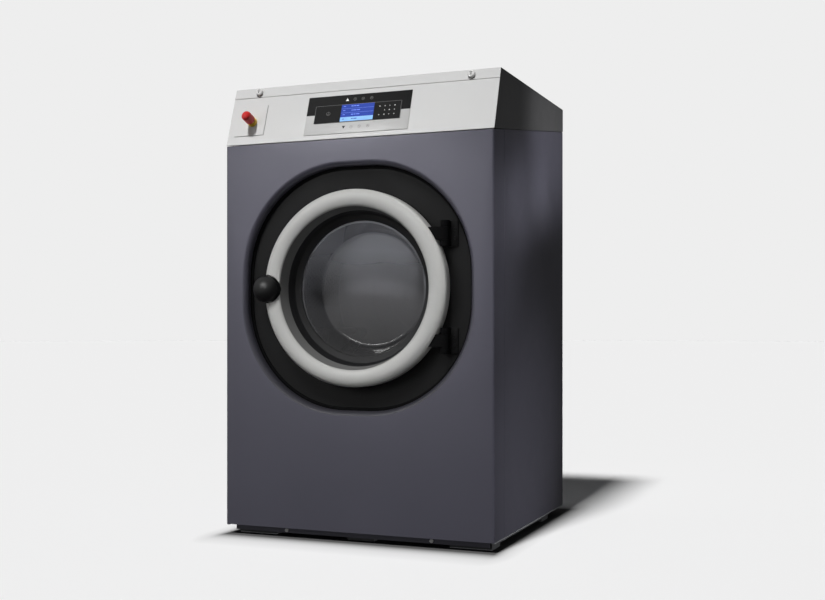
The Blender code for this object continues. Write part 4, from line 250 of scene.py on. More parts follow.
DEEP_BLACK = surface("deep_black_rubber", (0.0022, 0.0022, 0.0024), 0.85, grain=(1200, 30),
                     Specular_IOR_Level=0.15)
KNOB_BLACK = surface("knob_moulding", (0.0028, 0.0028, 0.003), 0.32, grain=(2600, 30))
PLATE_BLACK = surface("surround_plate_paint", (0.005, 0.005, 0.0052), 0.55, grain=(2200, 20),
                      Specular_IOR_Level=0.2)
DRUM_REAR = surface("drum_rear_stainless", (0.33, 0.325, 0.335), 0.42, 0.7, drift=(0.06, 7.0),
                    grain=(500, 10))
RUBBER = surface("rubber", (0.016, 0.016, 0.017), 0.75, drift=(0.15, 6.0), grain=(1200, 40))
STAINLESS = surface("stainless", (0.56, 0.56, 0.57), 0.28, 1.0, drift=(0.05, 12.0), grain=(500, 10),
                    stretch=(1.0, 14.0, 1.0))
GALVANISED = surface("galvanised", (0.4, 0.41, 0.425), 0.45, 0.4, drift=(0.18, 70.0), grain=(600, 20))
CAST = surface("cast_iron", (0.08, 0.082, 0.086), 0.6, 0.4, drift=(0.15, 30.0), grain=(420, 160))
NICKEL = surface("satin_nickel", (0.76, 0.76, 0.75), 0.35, 0.3, grain=(900, 6))
STEEL = surface("turned_steel", (0.4, 0.4, 0.41), 0.33, 1.0, drift=(0.08, 6.0), grain=(700, 10))
BRASS = surface("brass", (0.52, 0.38, 0.12), 0.3, 1.0, drift=(0.08, 6.0), grain=(900, 10))
WHITE = surface("white_moulding", (0.68, 0.68, 0.66), 0.45, grain=(1500, 20))
RED = surface("red_head", (0.52, 0.018, 0.018), 0.42, drift=(0.06, 40.0), grain=(900, 6))
YELLOW = surface("yellow_collar", (0.86, 0.56, 0.02), 0.3, drift=(0.04, 40.0), grain=(900, 6))
GLASS = glass_material()
RECESS_PAINT_WITH_SHADE = recess_shade_material()
BLACK_FOIL = surface("black_foil", (0.0055, 0.0055, 0.0056), 0.55, grain=(1800, 10), Specular_IOR_Level=0.3)
SILVER_FOIL = surface("silver_foil", (0.52, 0.52, 0.515), 0.42, 0.2, drift=(0.02, 6.0), grain=(1800, 10))
PALE_PRINT = print_ink("pale_print", (0.85, 0.85, 0.84))
DARK_PRINT = print_ink("dark_print", (0.008, 0.008, 0.009))
GREY_PRINT = print_ink("grey_print", (0.16, 0.16, 0.16), 0.5)
FAINT_ON_DARK = print_ink("faint_print_on_dark", (0.15, 0.15, 0.15))
FAINT_ON_LIGHT = print_ink("faint_print_on_light", (0.26, 0.245, 0.255))
JOINT_LINE = print_ink("joint_line", (0.15, 0.15, 0.15))
LCD_BLUE = lit_material("screen_blue", (0.024, 0.055, 0.34))
LCD_LINE = lit_material("screen_line", (0.16, 0.26, 0.8))
LCD_PALE = lit_material("screen_pale", (0.25, 0.48, 0.86))

CARRIED = (
    (PAINT, ("front_panel", "side_panel_left", "side_panel_right", "plinth_strip")),
    (DARK_PAINT, ("hood_cheek_left", "hood_cheek_right", "top_lid", "soap_flap")),
    (LIGHT_PANEL, ("console_panel", "lid_strip")),
    (BLACK, ("drain_valve", "lock_housing", "door_bezel", "hinge_arm_upper", "hinge_arm_lower",
             "hinge_bracket_upper", "hinge_bracket_lower")),
    (BLACK_GLOSS, ("display_frame",)),
    (RING, ("door_ring",)),
    (GLASS, ("door_glass",)),
    (KNOB_BLACK, ("door_knob",)),
    (PLATE_BLACK, ("door_surround",)),
    (RUBBER, ("door_gasket", "drive_belt", "drain_pipe", "fill_hose")),
    (STAINLESS, ("outer_tub", "tub_front", "glass_clamp", "lifter_1", "lifter_2", "lifter_3")),
    (GALVANISED, ("rear_panel", "top_shelf", "base_cross_rear", "control_box")),
    (CAST, ("base_rail_left", "base_rail_right", "base_cross_front", "tub_leg_left", "tub_leg_right",
            "bearing_housing", "motor_body", "drum_pulley", "drum_spider")),
    (NICKEL, ("lid_lock_left", "lid_lock_right")),
    (STEEL, ("latch_cam", "motor_rotor", "bearing_front", "bearing_rear")),
    (BRASS, ("drain_disc",)),
    (WHITE, ("soap_box", "inlet_valve_hot", "inlet_valve_cold")),
    (YELLOW, ("stop_stem", "stop_collar")),
    (RED, ("stop_head",)),
    (LCD_BLUE, ("lcd_screen",)),
)


def dress(node_name, material):
    """Gives a piece of the CAD one material."""
    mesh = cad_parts[node_name].data
    mesh.materials.clear()
    mesh.materials.append(material)


for material, node_names in CARRIED:
    for node_name in node_names:
        dress(node_name, material)


# Building finer pieces

def place_object(name, data):
    """Puts an object with this data into the scene."""
    made = bpy.data.objects.new(name, data)
    bpy.context.scene.collection.objects.link(made)
    return made


def add_piece(name, mesh, body, material, stands_for=()):
    """Puts a mesh on a body with a material, and hides the pieces it stands for."""
    made = place_object(name, mesh)
    if not mesh.materials:
        mesh.materials.append(material)
    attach(made, body)
    if stands_for:
        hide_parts(*stands_for)


def shaded(mesh, degrees):
    """The mesh shaded smooth between the edges that are sharper than this."""
    mesh.shade_smooth()
    mesh.set_sharp_from_angle(angle=math.radians(degrees))
    return mesh


def finish_mesh(bm, name, degrees=32):
    bmesh.ops.recalc_face_normals(bm, faces=bm.faces)
    mesh = bpy.data.meshes.new(name)
    bm.to_mesh(mesh)
    bm.free()
    return shaded(mesh, degrees)


def evaluated(mesh, *modifiers):
    """The mesh with these modifiers applied, each given as its kind and its settings."""
    holder = place_object("holder", mesh)
    for kind, settings in modifiers:
        modifier = holder.modifiers.new(kind.lower(), kind)
        for key, value in settings.items():
            setattr(modifier, key, value)
    graph = bpy.context.evaluated_depsgraph_get()
    graph.update()
    made = bpy.data.meshes.new_from_object(holder.evaluated_get(graph))
    made.name = mesh.name
    bpy.data.objects.remove(holder, do_unlink=True)
    return made


def cut_mesh(mesh, *cutters, operation="DIFFERENCE"):
    """The mesh cut by others, or joined with them."""
    holders = [place_object("cutter", cutter) for cutter in cutters]
    steps = [("BOOLEAN", {"operation": operation, "solver": "EXACT", "object": holder})
             for holder in holders]
    made = evaluated(mesh, *steps)
    for holder in holders:
        bpy.data.objects.remove(holder, do_unlink=True)
    return made


def softened(mesh, width, segments=3, degrees=35):
    """The mesh with its edges rounded, and shaded smooth between them."""
    made = evaluated(mesh, ("BEVEL", {"width": width, "segments": segments, "limit_method": "ANGLE",
                                      "angle_limit": math.radians(degrees), "harden_normals": True}))
    return shaded(made, degrees)


LONGEST_CORNER = 0.45
ON_AXIS = 0.000001


def rounded(profile, radius, steps=4, closed=True):
    """The profile with each corner turned into a small arc, by a quadratic curve."""
    points = []
    count = len(profile)
    for i, corner in enumerate(profile):
        if not closed and i in (0, count - 1):
            points.append(corner)
            continue
        p, q, r = Vector(profile[i - 1]), Vector(corner), Vector(profile[(i + 1) % count])
        back, on = p - q, r - q
        reach = min(radius, back.length * LONGEST_CORNER, on.length * LONGEST_CORNER)
        a, b = q + back.normalized() * reach, q + on.normalized() * reach
        for k in range(steps + 1):
            t = k / steps
            points.append(tuple(a * (1 - t) ** 2 + q * 2 * t * (1 - t) + b * t ** 2))
    return points


def axis_behind(y):
    """Axes of the door's and the drum's turned forms. The third one runs straight back from this Y."""
    return Matrix(((1, 0, 0, 0), (0, 0, 1, y), (0, 1, 0, DOOR_HEIGHT), (0, 0, 0, 1)))


DOOR_AXES = axis_behind(FRONT_Y)
KNOB_AXES = DOOR_AXES @ Matrix.Translation((KNOB_X, 0, 0))


def turned(name, profile, axes=DOOR_AXES, steps=144, closed=True, degrees=32):
    """A form turned on the third axis of a matrix, from its profile of radius and height on the axis."""
    bm = bmesh.new()
    rings = []
    for r, z in profile:
        if r < ON_AXIS:
            rings.append([bm.verts.new(axes @ Vector((0, 0, z)))])
            continue
        ring = []
        for i in range(steps):
            angle = math.tau * i / steps
            ring.append(bm.verts.new(axes @ Vector((r * math.cos(angle), r * math.sin(angle), z))))
        rings.append(ring)
    pairs = list(zip(rings, rings[1:] + rings[:1]))
    if not closed:
        pairs = pairs[:-1]
    for near, far in pairs:
        for i in range(steps):
            j = (i + 1) % steps
            loop = [near[i % len(near)], near[j % len(near)], far[j % len(far)], far[i % len(far)]]
            loop = list(dict.fromkeys(loop))
            if len(loop) > 2:
                bm.faces.new(loop)
    return finish_mesh(bm, name, degrees)


def rod(radius, ends, axes, steps, edge=0.0):
    """A round rod between two heights on an axis, with rounded edges."""
    profile = [(0.0, ends[0]), (radius, ends[0]), (radius, ends[1]), (0.0, ends[1])]
    if edge:
        profile = rounded(profile, edge, closed=False)
    return turned("rod", profile, axes, steps, closed=False)


def ellipse(x, y, half_x, half_y, start, end, steps):
    points = []
    for i in range(steps + 1):
        angle = math.radians(start + (end - start) * i / steps)
        points.append((x + half_x * math.cos(angle), y + half_y * math.sin(angle)))
    return points


def squircle(half, corner, steps=24):
    """Outline of a square with wide round corners, as (x, z) about the door's centre."""
    middle = half - corner
    points = []
    for turn, (sx, sy) in enumerate(((1, 1), (-1, 1), (-1, -1), (1, -1))):
        points += ellipse(sx * middle, sy * middle, corner, corner, 90 * turn, 90 * turn + 90, steps)
    return points


def bridge(bm, loops):
    """Faces between neighbouring closed loops of points."""
    for near, far in zip(loops, loops[1:]):
        for i in range(len(near)):
            j = (i + 1) % len(near)
            bm.faces.new((near[i], near[j], far[j], far[i]))


def block(name, low, high, edge=0.0, segments=3):
    """A box between two corners, with rounded edges."""
    bm = bmesh.new()
    bmesh.ops.create_cube(bm, size=1)
    size = Vector(high) - Vector(low)
    bmesh.ops.scale(bm, vec=size, verts=bm.verts)
    bmesh.ops.translate(bm, vec=(Vector(high) + Vector(low)) / 2, verts=bm.verts)
    mesh = finish_mesh(bm, name)
    return softened(mesh, edge, segments) if edge else mesh


def screw_heads(name, spots, head, segments, material, body="cabinet"):
    """Screw heads, each a low cone with the radius of its foot, the radius of its top and its height."""
    foot, top, height = head
    bm = bmesh.new()
    for spot in spots:
        bmesh.ops.create_cone(bm, cap_ends=True, segments=segments, radius1=foot, radius2=top, depth=height,
                              matrix=spot)
    add_piece(name, finish_mesh(bm, name), body, material)


# The front sheet and the door. Outlines give a radius and a distance behind the front panel's face

FRONT_EDGE = 0.005
FRONT_EDGE_STEPS = 6
ROLL_STEP = 6
CONSOLE_SEAM = 0.0012
TOP_FLANGE, BOTTOM_FLANGE = 0.03, 0.0395
ROLL_FACE = 0.001
FACE_SLACK = 0.00005
# The rubber rim: inset from the recess's wall, and depth
RIM_SECTION = ((0.0, 0.0265), (0.0, 0.021), (0.0012, 0.0205), (0.002, 0.0235), (0.006, 0.024),
               (0.007, 0.0255))
# The ring's two curves: their middle, then their half sizes
RING_OUTER = (0.221, -0.005, 0.018, -0.013)
RING_INNER = (0.221, -0.01, 0.0234, -0.008)
RING_BACK = [(0.239, 0.0225), (0.2375, 0.024), (0.1979, 0.024)]
NOTCH_RADIUS, NOTCH_LIP, NOTCH_FLOOR, NOTCH_FRONT = 0.028, 0.007, 0.006, -0.03
NOTCH_WALL = [(0.0352, -0.01), (0.037, NOTCH_FRONT), (0.0, NOTCH_FRONT)]
KNOB_BORE, KNOB_BORE_END = 0.0063, 0.04
CONE_NOTCH = 0.0335
CONE = [(0.1973, -0.009), (0.1895, 0.022), (0.1945, 0.022), (0.1973, 0.014)]
BEZEL = [(0.1893, 0.0223), (0.1863, 0.0345), (0.1823, 0.044), (0.167, 0.0495), (0.167, 0.052),
         (0.19, 0.052), (0.1925, 0.0223)]
BOWL_BEND, BOWL_BEND_DEPTH = 0.136, 0.108
BOWL_OUTER, BOWL_INNER = 0.012, 0.008
BOWL_RIM = [(0.166, 0.0573), (0.188, 0.0573), (0.188, 0.0523), (0.1625, 0.0523)]
CLAMP = [(0.171, 0.0576), (0.188, 0.0576), (0.188, 0.063), (0.171, 0.063)]
CLAMP_SCREWS = 12
CLAMP_SCREW_RADIUS, CLAMP_SCREW_DEPTH = 0.1795, 0.0632
CLAMP_SCREW_HEAD = (0.0032, 0.0026, 0.0012)
KNOB_SIDE = [(0.0, 0.0057), (0.03, 0.0057), (0.0308, 0.004), (0.0312, -0.002), (0.032, -0.014)]
KNOB_RADIUS, KNOB_SHOULDER, KNOB_CROWN = 0.0325, -0.024, 0.018
ARM_X = (0.185, 0.2335)
ARM_HALF_DEPTH, ARM_HALF_HEIGHT = 0.0098, 0.015
RING_SEAT, RING_SEAT_HALF = 0.2393, 0.04
KNUCKLE_RADIUS = 0.01
LEAF_X, LEAF_DEPTHS, LEAF_HALF_HEIGHT = (0.2225, 0.2585), (0.0232, 0.0267), 0.0305
LUG_X, LUG_BACK, LUG_HALF_HEIGHT, LUG_OFFSET = (0.223, 0.241), 0.025, 0.0076, 0.02305
LEAF_PAINT_DEPTH = 0.0228
LEAF_SCREW_X, LEAF_SCREW_DEPTH, LEAF_SCREW_OFFSET = 0.2515, 0.0225, 0.01
LEAF_SCREW_HEAD = (0.0042, 0.0036, 0.0016)
PLINTH_SCREW_HEAD = (0.0052, 0.0044, 0.0026)
PLINTH_SCREW_PROUD = 0.0016
FOLD = [(0.179, 0.0633), (0.187, 0.0633), (0.189, 0.07), (0.1957, 0.0725), (0.1957, 0.084),
        (0.177, 0.084), (0.177, 0.078), (0.18, 0.0755), (0.177, 0.072)]
FACING_FRONT = Matrix.Rotation(math.radians(90), 4, "X")


def front_skin():
    """The painted front: a flat face, a smoothly rolled recess, round side edges and folded returns."""
    roll = [math.radians(degrees) for degrees in range(ROLL_STEP, 91, ROLL_STEP)]
    profile = [(0.0, 0.0)] + [(RECESS_ROLL * math.sin(a), RECESS_ROLL * (1 - math.cos(a))) for a in roll]
    profile.append((RECESS_ROLL, RECESS_DEPTH))
    bm = bmesh.new()
    rings = []
    for inset, depth in profile:
        outline = squircle(RECESS_HALF - inset, RECESS_CORNER - inset)
        rings.append([bm.verts.new((x, behind(depth), DOOR_HEIGHT + z)) for x, z in outline])
    bridge(bm, rings)
    foot, top = PANEL_BOTTOM, SLANT_FOOT - CONSOLE_SEAM
    inner = HALF_WIDTH - FRONT_EDGE
    corner = [bm.verts.new((x, FRONT_Y, z))
              for x, z in ((inner, foot), (inner, top), (-inner, top), (-inner, foot))]
    edges = [bm.edges.new((corner[i], corner[(i + 1) % 4])) for i in range(4)]
    edges += [bm.edges.get((rings[0][i], rings[0][(i + 1) % len(rings[0])])) for i in range(len(rings[0]))]
    bmesh.ops.triangle_fill(bm, use_beauty=True, use_dissolve=False, edges=edges, normal=(0, -1, 0))
    rise = (BACK_HEIGHT - SLANT_FOOT) * PANEL_RETURN / CABINET_DEPTH
    for side, low, high in ((1, corner[0], corner[1]), (-1, corner[3], corner[2])):
        for k in range(1, FRONT_EDGE_STEPS + 1):
            angle = math.radians(90 * k / FRONT_EDGE_STEPS)
            x = side * (inner + FRONT_EDGE * math.sin(angle))
            y = FRONT_Y + FRONT_EDGE * (1 - math.cos(angle))
            row = (bm.verts.new((x, y, foot)), bm.verts.new((x, y, top)))
            bm.faces.new((low, high, row[1], row[0]))
            low, high = row
        row = (bm.verts.new((side * HALF_WIDTH, behind(PANEL_RETURN), foot)),
               bm.verts.new((side * HALF_WIDTH, behind(PANEL_RETURN), top + rise)))
        bm.faces.new((low, high, row[1], row[0]))
    for a, b, depth in ((corner[0], corner[3], BOTTOM_FLANGE), (corner[1], corner[2], TOP_FLANGE)):
        c = bm.verts.new((b.co.x, behind(depth), b.co.z))
        d = bm.verts.new((a.co.x, behind(depth), a.co.z))
        bm.faces.new((a, b, c, d))
    bmesh.ops.recalc_face_normals(bm, faces=bm.faces)
    flat = max(bm.faces, key=lambda face: abs(face.normal.y) * face.calc_area())
    if flat.normal.y > 0:
        bmesh.ops.reverse_faces(bm, faces=bm.faces)
    mesh = bpy.data.meshes.new("front_skin")
    bm.to_mesh(mesh)
    bm.free()
    mesh = evaluated(mesh, ("SOLIDIFY", {"thickness": SHEET, "offset": -1, "use_even_offset": True}))
    shaded(mesh, 28)
    mesh.materials.append(PAINT)
    mesh.materials.append(RECESS_PAINT_WITH_SHADE)
    # The roll's small faces take the recess paint, with its painted shade towards the foot.
    for face in mesh.polygons:
        near_door = abs(face.center.x) < RECESS_HALF and face.center.y > behind(FACE_SLACK)
        if face.area < ROLL_FACE and near_door:
            face.material_index = 1
    add_piece("front_skin", mesh, "cabinet", PAINT, ("front_panel",))


def surround():
    """The deep black rubber that fills the joint between the recess's wall and the plate. Its near-black
    colour also stands in for the shade deep in that joint.
    """
    half = RECESS_HALF - RECESS_ROLL
    outline = squircle(half - GAP, RECESS_CORNER - RECESS_ROLL - GAP)
    bm = bmesh.new()
    loops = []
    for inset, depth in RIM_SECTION:
        share = 1 - inset / half
        loops.append([bm.verts.new((x * share, behind(depth), DOOR_HEIGHT + z * share))
                      for x, z in outline])
    bridge(bm, loops)
    add_piece("recess_rim", finish_mesh(bm, "recess_rim", 40), "cabinet", DEEP_BLACK)


def door_ring():
    """The rounded ring of the door, with the hollow that the knob turns in."""
    front = ellipse(*RING_OUTER, 0, 90, 14) + ellipse(*RING_INNER, 90, 180, 12)[1:]
    ring = turned("door_ring_fine", RING_BACK + front[::-1], steps=192)
    lip = [(0.0, NOTCH_FLOOR), (NOTCH_RADIUS, NOTCH_FLOOR)]
    lip += ellipse(NOTCH_RADIUS, NOTCH_FLOOR - NOTCH_LIP, NOTCH_LIP, NOTCH_LIP, 90, 0, 8) + NOTCH_WALL
    ring = cut_mesh(ring, turned("hollow", lip, KNOB_AXES, steps=64, closed=False),
                    rod(KNOB_BORE, (NOTCH_FRONT, KNOB_BORE_END), KNOB_AXES, 32))
    add_piece("door_ring_fine", shaded(ring, 30), "door", RING, ("door_ring",))


def door_inside():
    """The dark cone and the black bezel inside the ring, the glass bowl and the clamp ring behind it."""
    cone = turned("door_cone", rounded(CONE, 0.001), steps=160)
    cone = cut_mesh(cone, rod(CONE_NOTCH, (NOTCH_FLOOR, NOTCH_FRONT), KNOB_AXES, 64))
    add_piece("door_cone", shaded(cone, 30), "door", DARK_CONE, ("door_bezel",))
    bezel = turned("door_bezel_fine", rounded(BEZEL, 0.0012), steps=160)
    add_piece("door_bezel_fine", bezel, "door", BLACK)
    bowl = [(0.0, BOWL_BEND_DEPTH + BOWL_OUTER)]
    bowl += ellipse(BOWL_BEND, BOWL_BEND_DEPTH, BOWL_OUTER, BOWL_OUTER, 90, 0, 8) + BOWL_RIM
    bowl += ellipse(BOWL_BEND, BOWL_BEND_DEPTH, BOWL_INNER, BOWL_INNER, 0, 90, 8)
    bowl.append((0.0, BOWL_BEND_DEPTH + BOWL_INNER))
    add_piece("door_bowl", turned("door_bowl", bowl, steps=160, closed=False), "door", GLASS,
              ("door_glass",))
    clamp = turned("glass_clamp_fine", rounded(CLAMP, 0.001), steps=128)
    add_piece("glass_clamp_fine", clamp, "door", STAINLESS, ("glass_clamp",))
    spots = []
    for i in range(CLAMP_SCREWS):
        angle = math.tau * (i + 0.5) / CLAMP_SCREWS
        across, up = CLAMP_SCREW_RADIUS * math.cos(angle), CLAMP_SCREW_RADIUS * math.sin(angle)
        spots.append(DOOR_AXES @ Matrix.Translation((across, up, CLAMP_SCREW_DEPTH)))
    screw_heads("clamp_screws", spots, CLAMP_SCREW_HEAD, 20, STEEL, "door")


def knob():
    """The domed knob, with a fine waist where it meets its hollow."""
    dome = ellipse(0, KNOB_SHOULDER, KNOB_RADIUS, -KNOB_CROWN, 0, 90, 18)[:-1]
    profile = KNOB_SIDE + dome + [(0.0, KNOB_SHOULDER - KNOB_CROWN)]
    mesh = turned("door_knob_fine", profile, KNOB_AXES, steps=96, closed=False)
    add_piece("door_knob_fine", mesh, "door_latch", KNOB_BLACK, ("door_knob",))


def door_hinges():
    """Hinge arms that hug the ring, their knuckles, and the lugs and leaves of the fixed brackets."""
    seat = (-RING_SEAT_HALF, RING_SEAT_HALF)
    for side, label in ((1, "upper"), (-1, "lower")):
        z = DOOR_HEIGHT + side * HINGE_OFFSET
        arm = block("arm", (ARM_X[0], HINGE_Y - ARM_HALF_DEPTH, z - ARM_HALF_HEIGHT),
                    (ARM_X[1], HINGE_Y + ARM_HALF_DEPTH, z + ARM_HALF_HEIGHT))
        knuckle = rod(KNUCKLE_RADIUS, (-ARM_HALF_HEIGHT, ARM_HALF_HEIGHT),
                      Matrix.Translation((HINGE_X, HINGE_Y, z)), 48, 0.001)
        arm = cut_mesh(cut_mesh(arm, knuckle, operation="UNION"), rod(RING_SEAT, seat, DOOR_AXES, 192))
        name = f"hinge_arm_{label}"
        add_piece(f"{name}_fine", softened(arm, 0.0009, 2, 40), "door", DEEP_BLACK, (name,))
        leaf = block("leaf", (LEAF_X[0], behind(LEAF_DEPTHS[0]), z - LEAF_HALF_HEIGHT),
                     (LEAF_X[1], behind(LEAF_DEPTHS[1]), z + LEAF_HALF_HEIGHT), 0.0012)
        for end in (-1, 1):
            middle = z + end * LUG_OFFSET
            lug = block("lug", (LUG_X[0], HINGE_Y, middle - LUG_HALF_HEIGHT),
                        (LUG_X[1], behind(LUG_BACK), middle + LUG_HALF_HEIGHT), 0.0008)
            boss = rod(KNUCKLE_RADIUS, (-LUG_HALF_HEIGHT, LUG_HALF_HEIGHT),
                       Matrix.Translation((HINGE_X, HINGE_Y, middle)), 48, 0.0012)
            leaf = cut_mesh(leaf, lug, boss, operation="UNION")
        shaded(leaf, 30)
        leaf.materials.append(DEEP_BLACK)
        leaf.materials.append(PLATE_BLACK)
        for face in leaf.polygons:
            face.material_index = 1 if face.center.y > behind(LEAF_PAINT_DEPTH) else 0
        name = f"hinge_bracket_{label}"
        add_piece(f"{name}_fine", leaf, "cabinet", DEEP_BLACK, (name,))
        spots = [Matrix.Translation((LEAF_SCREW_X, behind(LEAF_SCREW_DEPTH), z + offset)) @ FACING_FRONT
                 for offset in (-LEAF_SCREW_OFFSET, LEAF_SCREW_OFFSET)]
        screw_heads(f"hinge_screws_{label}", spots, LEAF_SCREW_HEAD, 24, PLATE_BLACK)


def gasket():
    """The folded rubber seal in the tub's neck."""
    mesh = turned("door_gasket_fine", rounded(FOLD, 0.0015, 3), steps=144, degrees=50)
    add_piece("door_gasket_fine", mesh, "cabinet", RUBBER, ("door_gasket",))


def foot_trim():
    """Bright screw heads on the plinth, and the bare metal edges of the foot."""
    depth = behind(PLINTH_SETBACK - PLINTH_SCREW_PROUD)
    spots = [Matrix.Translation((side * PLINTH_SCREW_X, depth, PLINTH_SCREW_HEIGHT)) @ FACING_FRONT
             for side in (-1, 1)]
    screw_heads("plinth_screws", spots, PLINTH_SCREW_HEAD, 24, NICKEL)
    for side, label in ((-1, "left"), (1, "right")):
        x = sorted((side * (HALF_WIDTH - EDGE_WIDTH), side * (HALF_WIDTH - EDGE_INSET)))
        edge = block("edge", (x[0], behind(EDGE_SETBACK), PANEL_BOTTOM - EDGE_DROPS[1]),
                     (x[1], PANEL_BACK, PANEL_BOTTOM - EDGE_DROPS[0]))
        x = sorted((side * (PAD_OUTER - TOE_INSET), side * (PAD_OUTER - PAD_LENGTH)))
        toe = block("toe", (x[0], behind(PAD_SETBACK - TOE_PROUD), TOE_HEIGHTS[0]),
                    (x[1], behind(PAD_SETBACK + TOE_DEPTH), TOE_HEIGHTS[1]))
        add_piece(f"foot_edge_{label}", cut_mesh(edge, toe, operation="UNION"), "cabinet", GALVANISED)


EDGE_WIDTH, EDGE_INSET, EDGE_SETBACK = 0.008, 0.0001, 0.004
EDGE_DROPS = (0.0002, 0.0021)
TOE_INSET, TOE_PROUD, TOE_DEPTH = 0.0004, 0.0006, 0.004
TOE_HEIGHTS = (0.0002, 0.0018)
front_skin()
door_ring()
door_inside()
knob()
door_hinges()
surround()
gasket()
foot_trim()


# The slanted console: display, keypad, printed signs, emergency stop and lid locks

SLANT_UP = Vector((0, SLANT_SETBACK, SLANT_RISE)).normalized()
SLANT_OUT = Vector((0, -SLANT_RISE, SLANT_SETBACK)).normalized()
SLANT_AXES = Matrix(((1, 0, 0, 0), (0, SLANT_UP.y, SLANT_OUT.y, behind(SLANT_SETBACK)),
                     (0, SLANT_UP.z, SLANT_OUT.z, HEIGHT), (0, 0, 0, 1)))
PRINT = 0.00012
DISPLAY_HALF = 0.1385
DISPLAY_DROP, DISPLAY_FOOT = 0.0408, 0.1458
DISPLAY_SPLIT = 0.0918
DISPLAY_PROUD = 0.0015
DISPLAY_EDGE = 0.0005
BAR_HALF = 0.1148
BAR_DROP, BAR_FOOT = 0.0679, 0.1155
BAR_PROUD = 0.003
BAR_SINK, BAR_EDGE = 0.0008, 0.0004
BAR_RIM, BAR_FOOT_RIM = 0.0009, 0.0002
BAR_STEP, BAR_PLATE = 0.0001, 0.0009
FACE = BAR_PROUD + PRINT
LCD_HALF = 0.0437
LCD_DROP, LCD_FOOT = 0.0689, 0.1146
LCD_ROWS = 4
LCD_ROW = (LCD_FOOT - LCD_DROP) / LCD_ROWS
LCD_MARGIN, LCD_RULE = 0.001, 0.0005
# Where each row of the screen starts, and how wide its entries are
ENTRIES = ((-0.018, (0.006, 0.005, 0.007)), (-0.016, (0.003, 0.009, 0.008)),
           (-0.016, (0.007, 0.004, 0.009)))
ENTRY_GAP, ENTRY_HALF, ENTRY_DROP = 0.0014, 0.0011, 0.42
MARK_LEFT, MARK_RIGHT, MARK_HALF = -0.0385, -0.0325, 0.0007
FOOT_ENTRIES = ((-0.014, -0.009), (-0.0075, 0.001))
FOOT_ENTRY_HALF, FOOT_DROP = 0.001, 0.55
SIGN_X = (-0.0318, -0.0114, 0.0103, 0.033)
SIGN_DROPS = (0.0543, 0.13)
SIGN_RADIUS, SIGN_LINE = 0.0041, 0.0008
SIGN_BAR, SIGN_BAR_STEP, SIGN_THICK = 0.0016, 0.0004, 0.0006
ARROW_HALF, ARROW_BACK, ARROW_TIP = 0.0044, 0.0037, 0.0042
START_X, START_DROP = -0.078, 0.0906
START_RADIUS, START_LINE = 0.0052, 0.0009
START_BAR_HALF, START_BAR_TOP = 0.0005, 0.0058
START_FOOT_HALF, START_FOOT_HEIGHT = 0.0022, 0.0009
START_GAP = 0.0008
KEY_X = (0.0588, 0.0724, 0.085, 0.0982)
KEY_DROPS = (0.0801, 0.0915, 0.1032)
KEY_SMALL, KEY_LARGE = 0.0011, 0.0014
LOCK_X, LOCK_DROP, LOCK_PROUD = 0.2845, 0.013, 0.007
LOCK_RIM = [(0.0048, -0.001), (0.0048, 0.0002), (0.006, 0.0009), (0.0078, 0.0009), (0.0093, -0.0002),
            (0.0094, -0.004), (0.0091, -0.006), (0.0089, -0.006), (0.0089, -0.001)]
SLOT_HALF, SLOT_LENGTH_HALF, SLOT_EDGE = 0.0011, 0.004, 0.0003
SLOT_DEPTHS = (-0.0008, 0.0002)
STOP_PLATE = (-0.3355, -0.2535, 0.0523, 0.1343)
STOP_JOINT, STOP_JOINT_PROUD = 0.0008, 0.0001


def slant_block(name, x, drop, proud, body, material, edge=0.0, stands_for=()):
    """A block on the console between two x, two drops from its top edge and two heights off its face."""
    mesh = block(name, (x[0], -drop[1], proud[0]), (x[1], -drop[0], proud[1]), edge)
    mesh.transform(SLANT_AXES)
    add_piece(name, mesh, body, material, stands_for)


def printed(name, outlines, proud, material):
    """Flat printed signs of one colour on the console, each a thin film with its own outline."""
    bm = bmesh.new()
    for outline in outlines:
        near = [bm.verts.new(SLANT_AXES @ Vector((x, -drop, proud))) for x, drop in outline]
        far = [bm.verts.new(SLANT_AXES @ Vector((x, -drop, proud + PRINT))) for x, drop in outline]
        bm.faces.new(near)
        bm.faces.new(far[::-1])
        for i in range(len(near)):
            j = (i + 1) % len(near)
            bm.faces.new((near[j], near[i], far[i], far[j]))
    add_piece(name, finish_mesh(bm, name), "cabinet", material)


def bar_outline(left, right, top, foot):
    return [(left, top), (right, top), (right, foot), (left, foot)]


def round_outline(x, drop, radius, steps=16):
    return [(x + radius * math.cos(math.tau * i / steps), drop + radius * math.sin(math.tau * i / steps))
            for i in range(steps)]


def ring_outline(x, drop, radius, width, start=0, end=360, steps=24):
    """A ring or a part of one, whose outline goes out along its outer edge and back along its inner one."""
    out = ellipse(x, drop, radius, radius, start, end, steps)
    return out + ellipse(x, drop, radius - width, radius - width, end, start, steps)


def frame_outline(left, right, top, foot, width):
    """Four thin strips that frame an area."""
    return [bar_outline(left, right, top, top + width), bar_outline(left, right, foot - width, foot),
            bar_outline(left, left + width, top + width, foot - width),
            bar_outline(right - width, right, top + width, foot - width)]


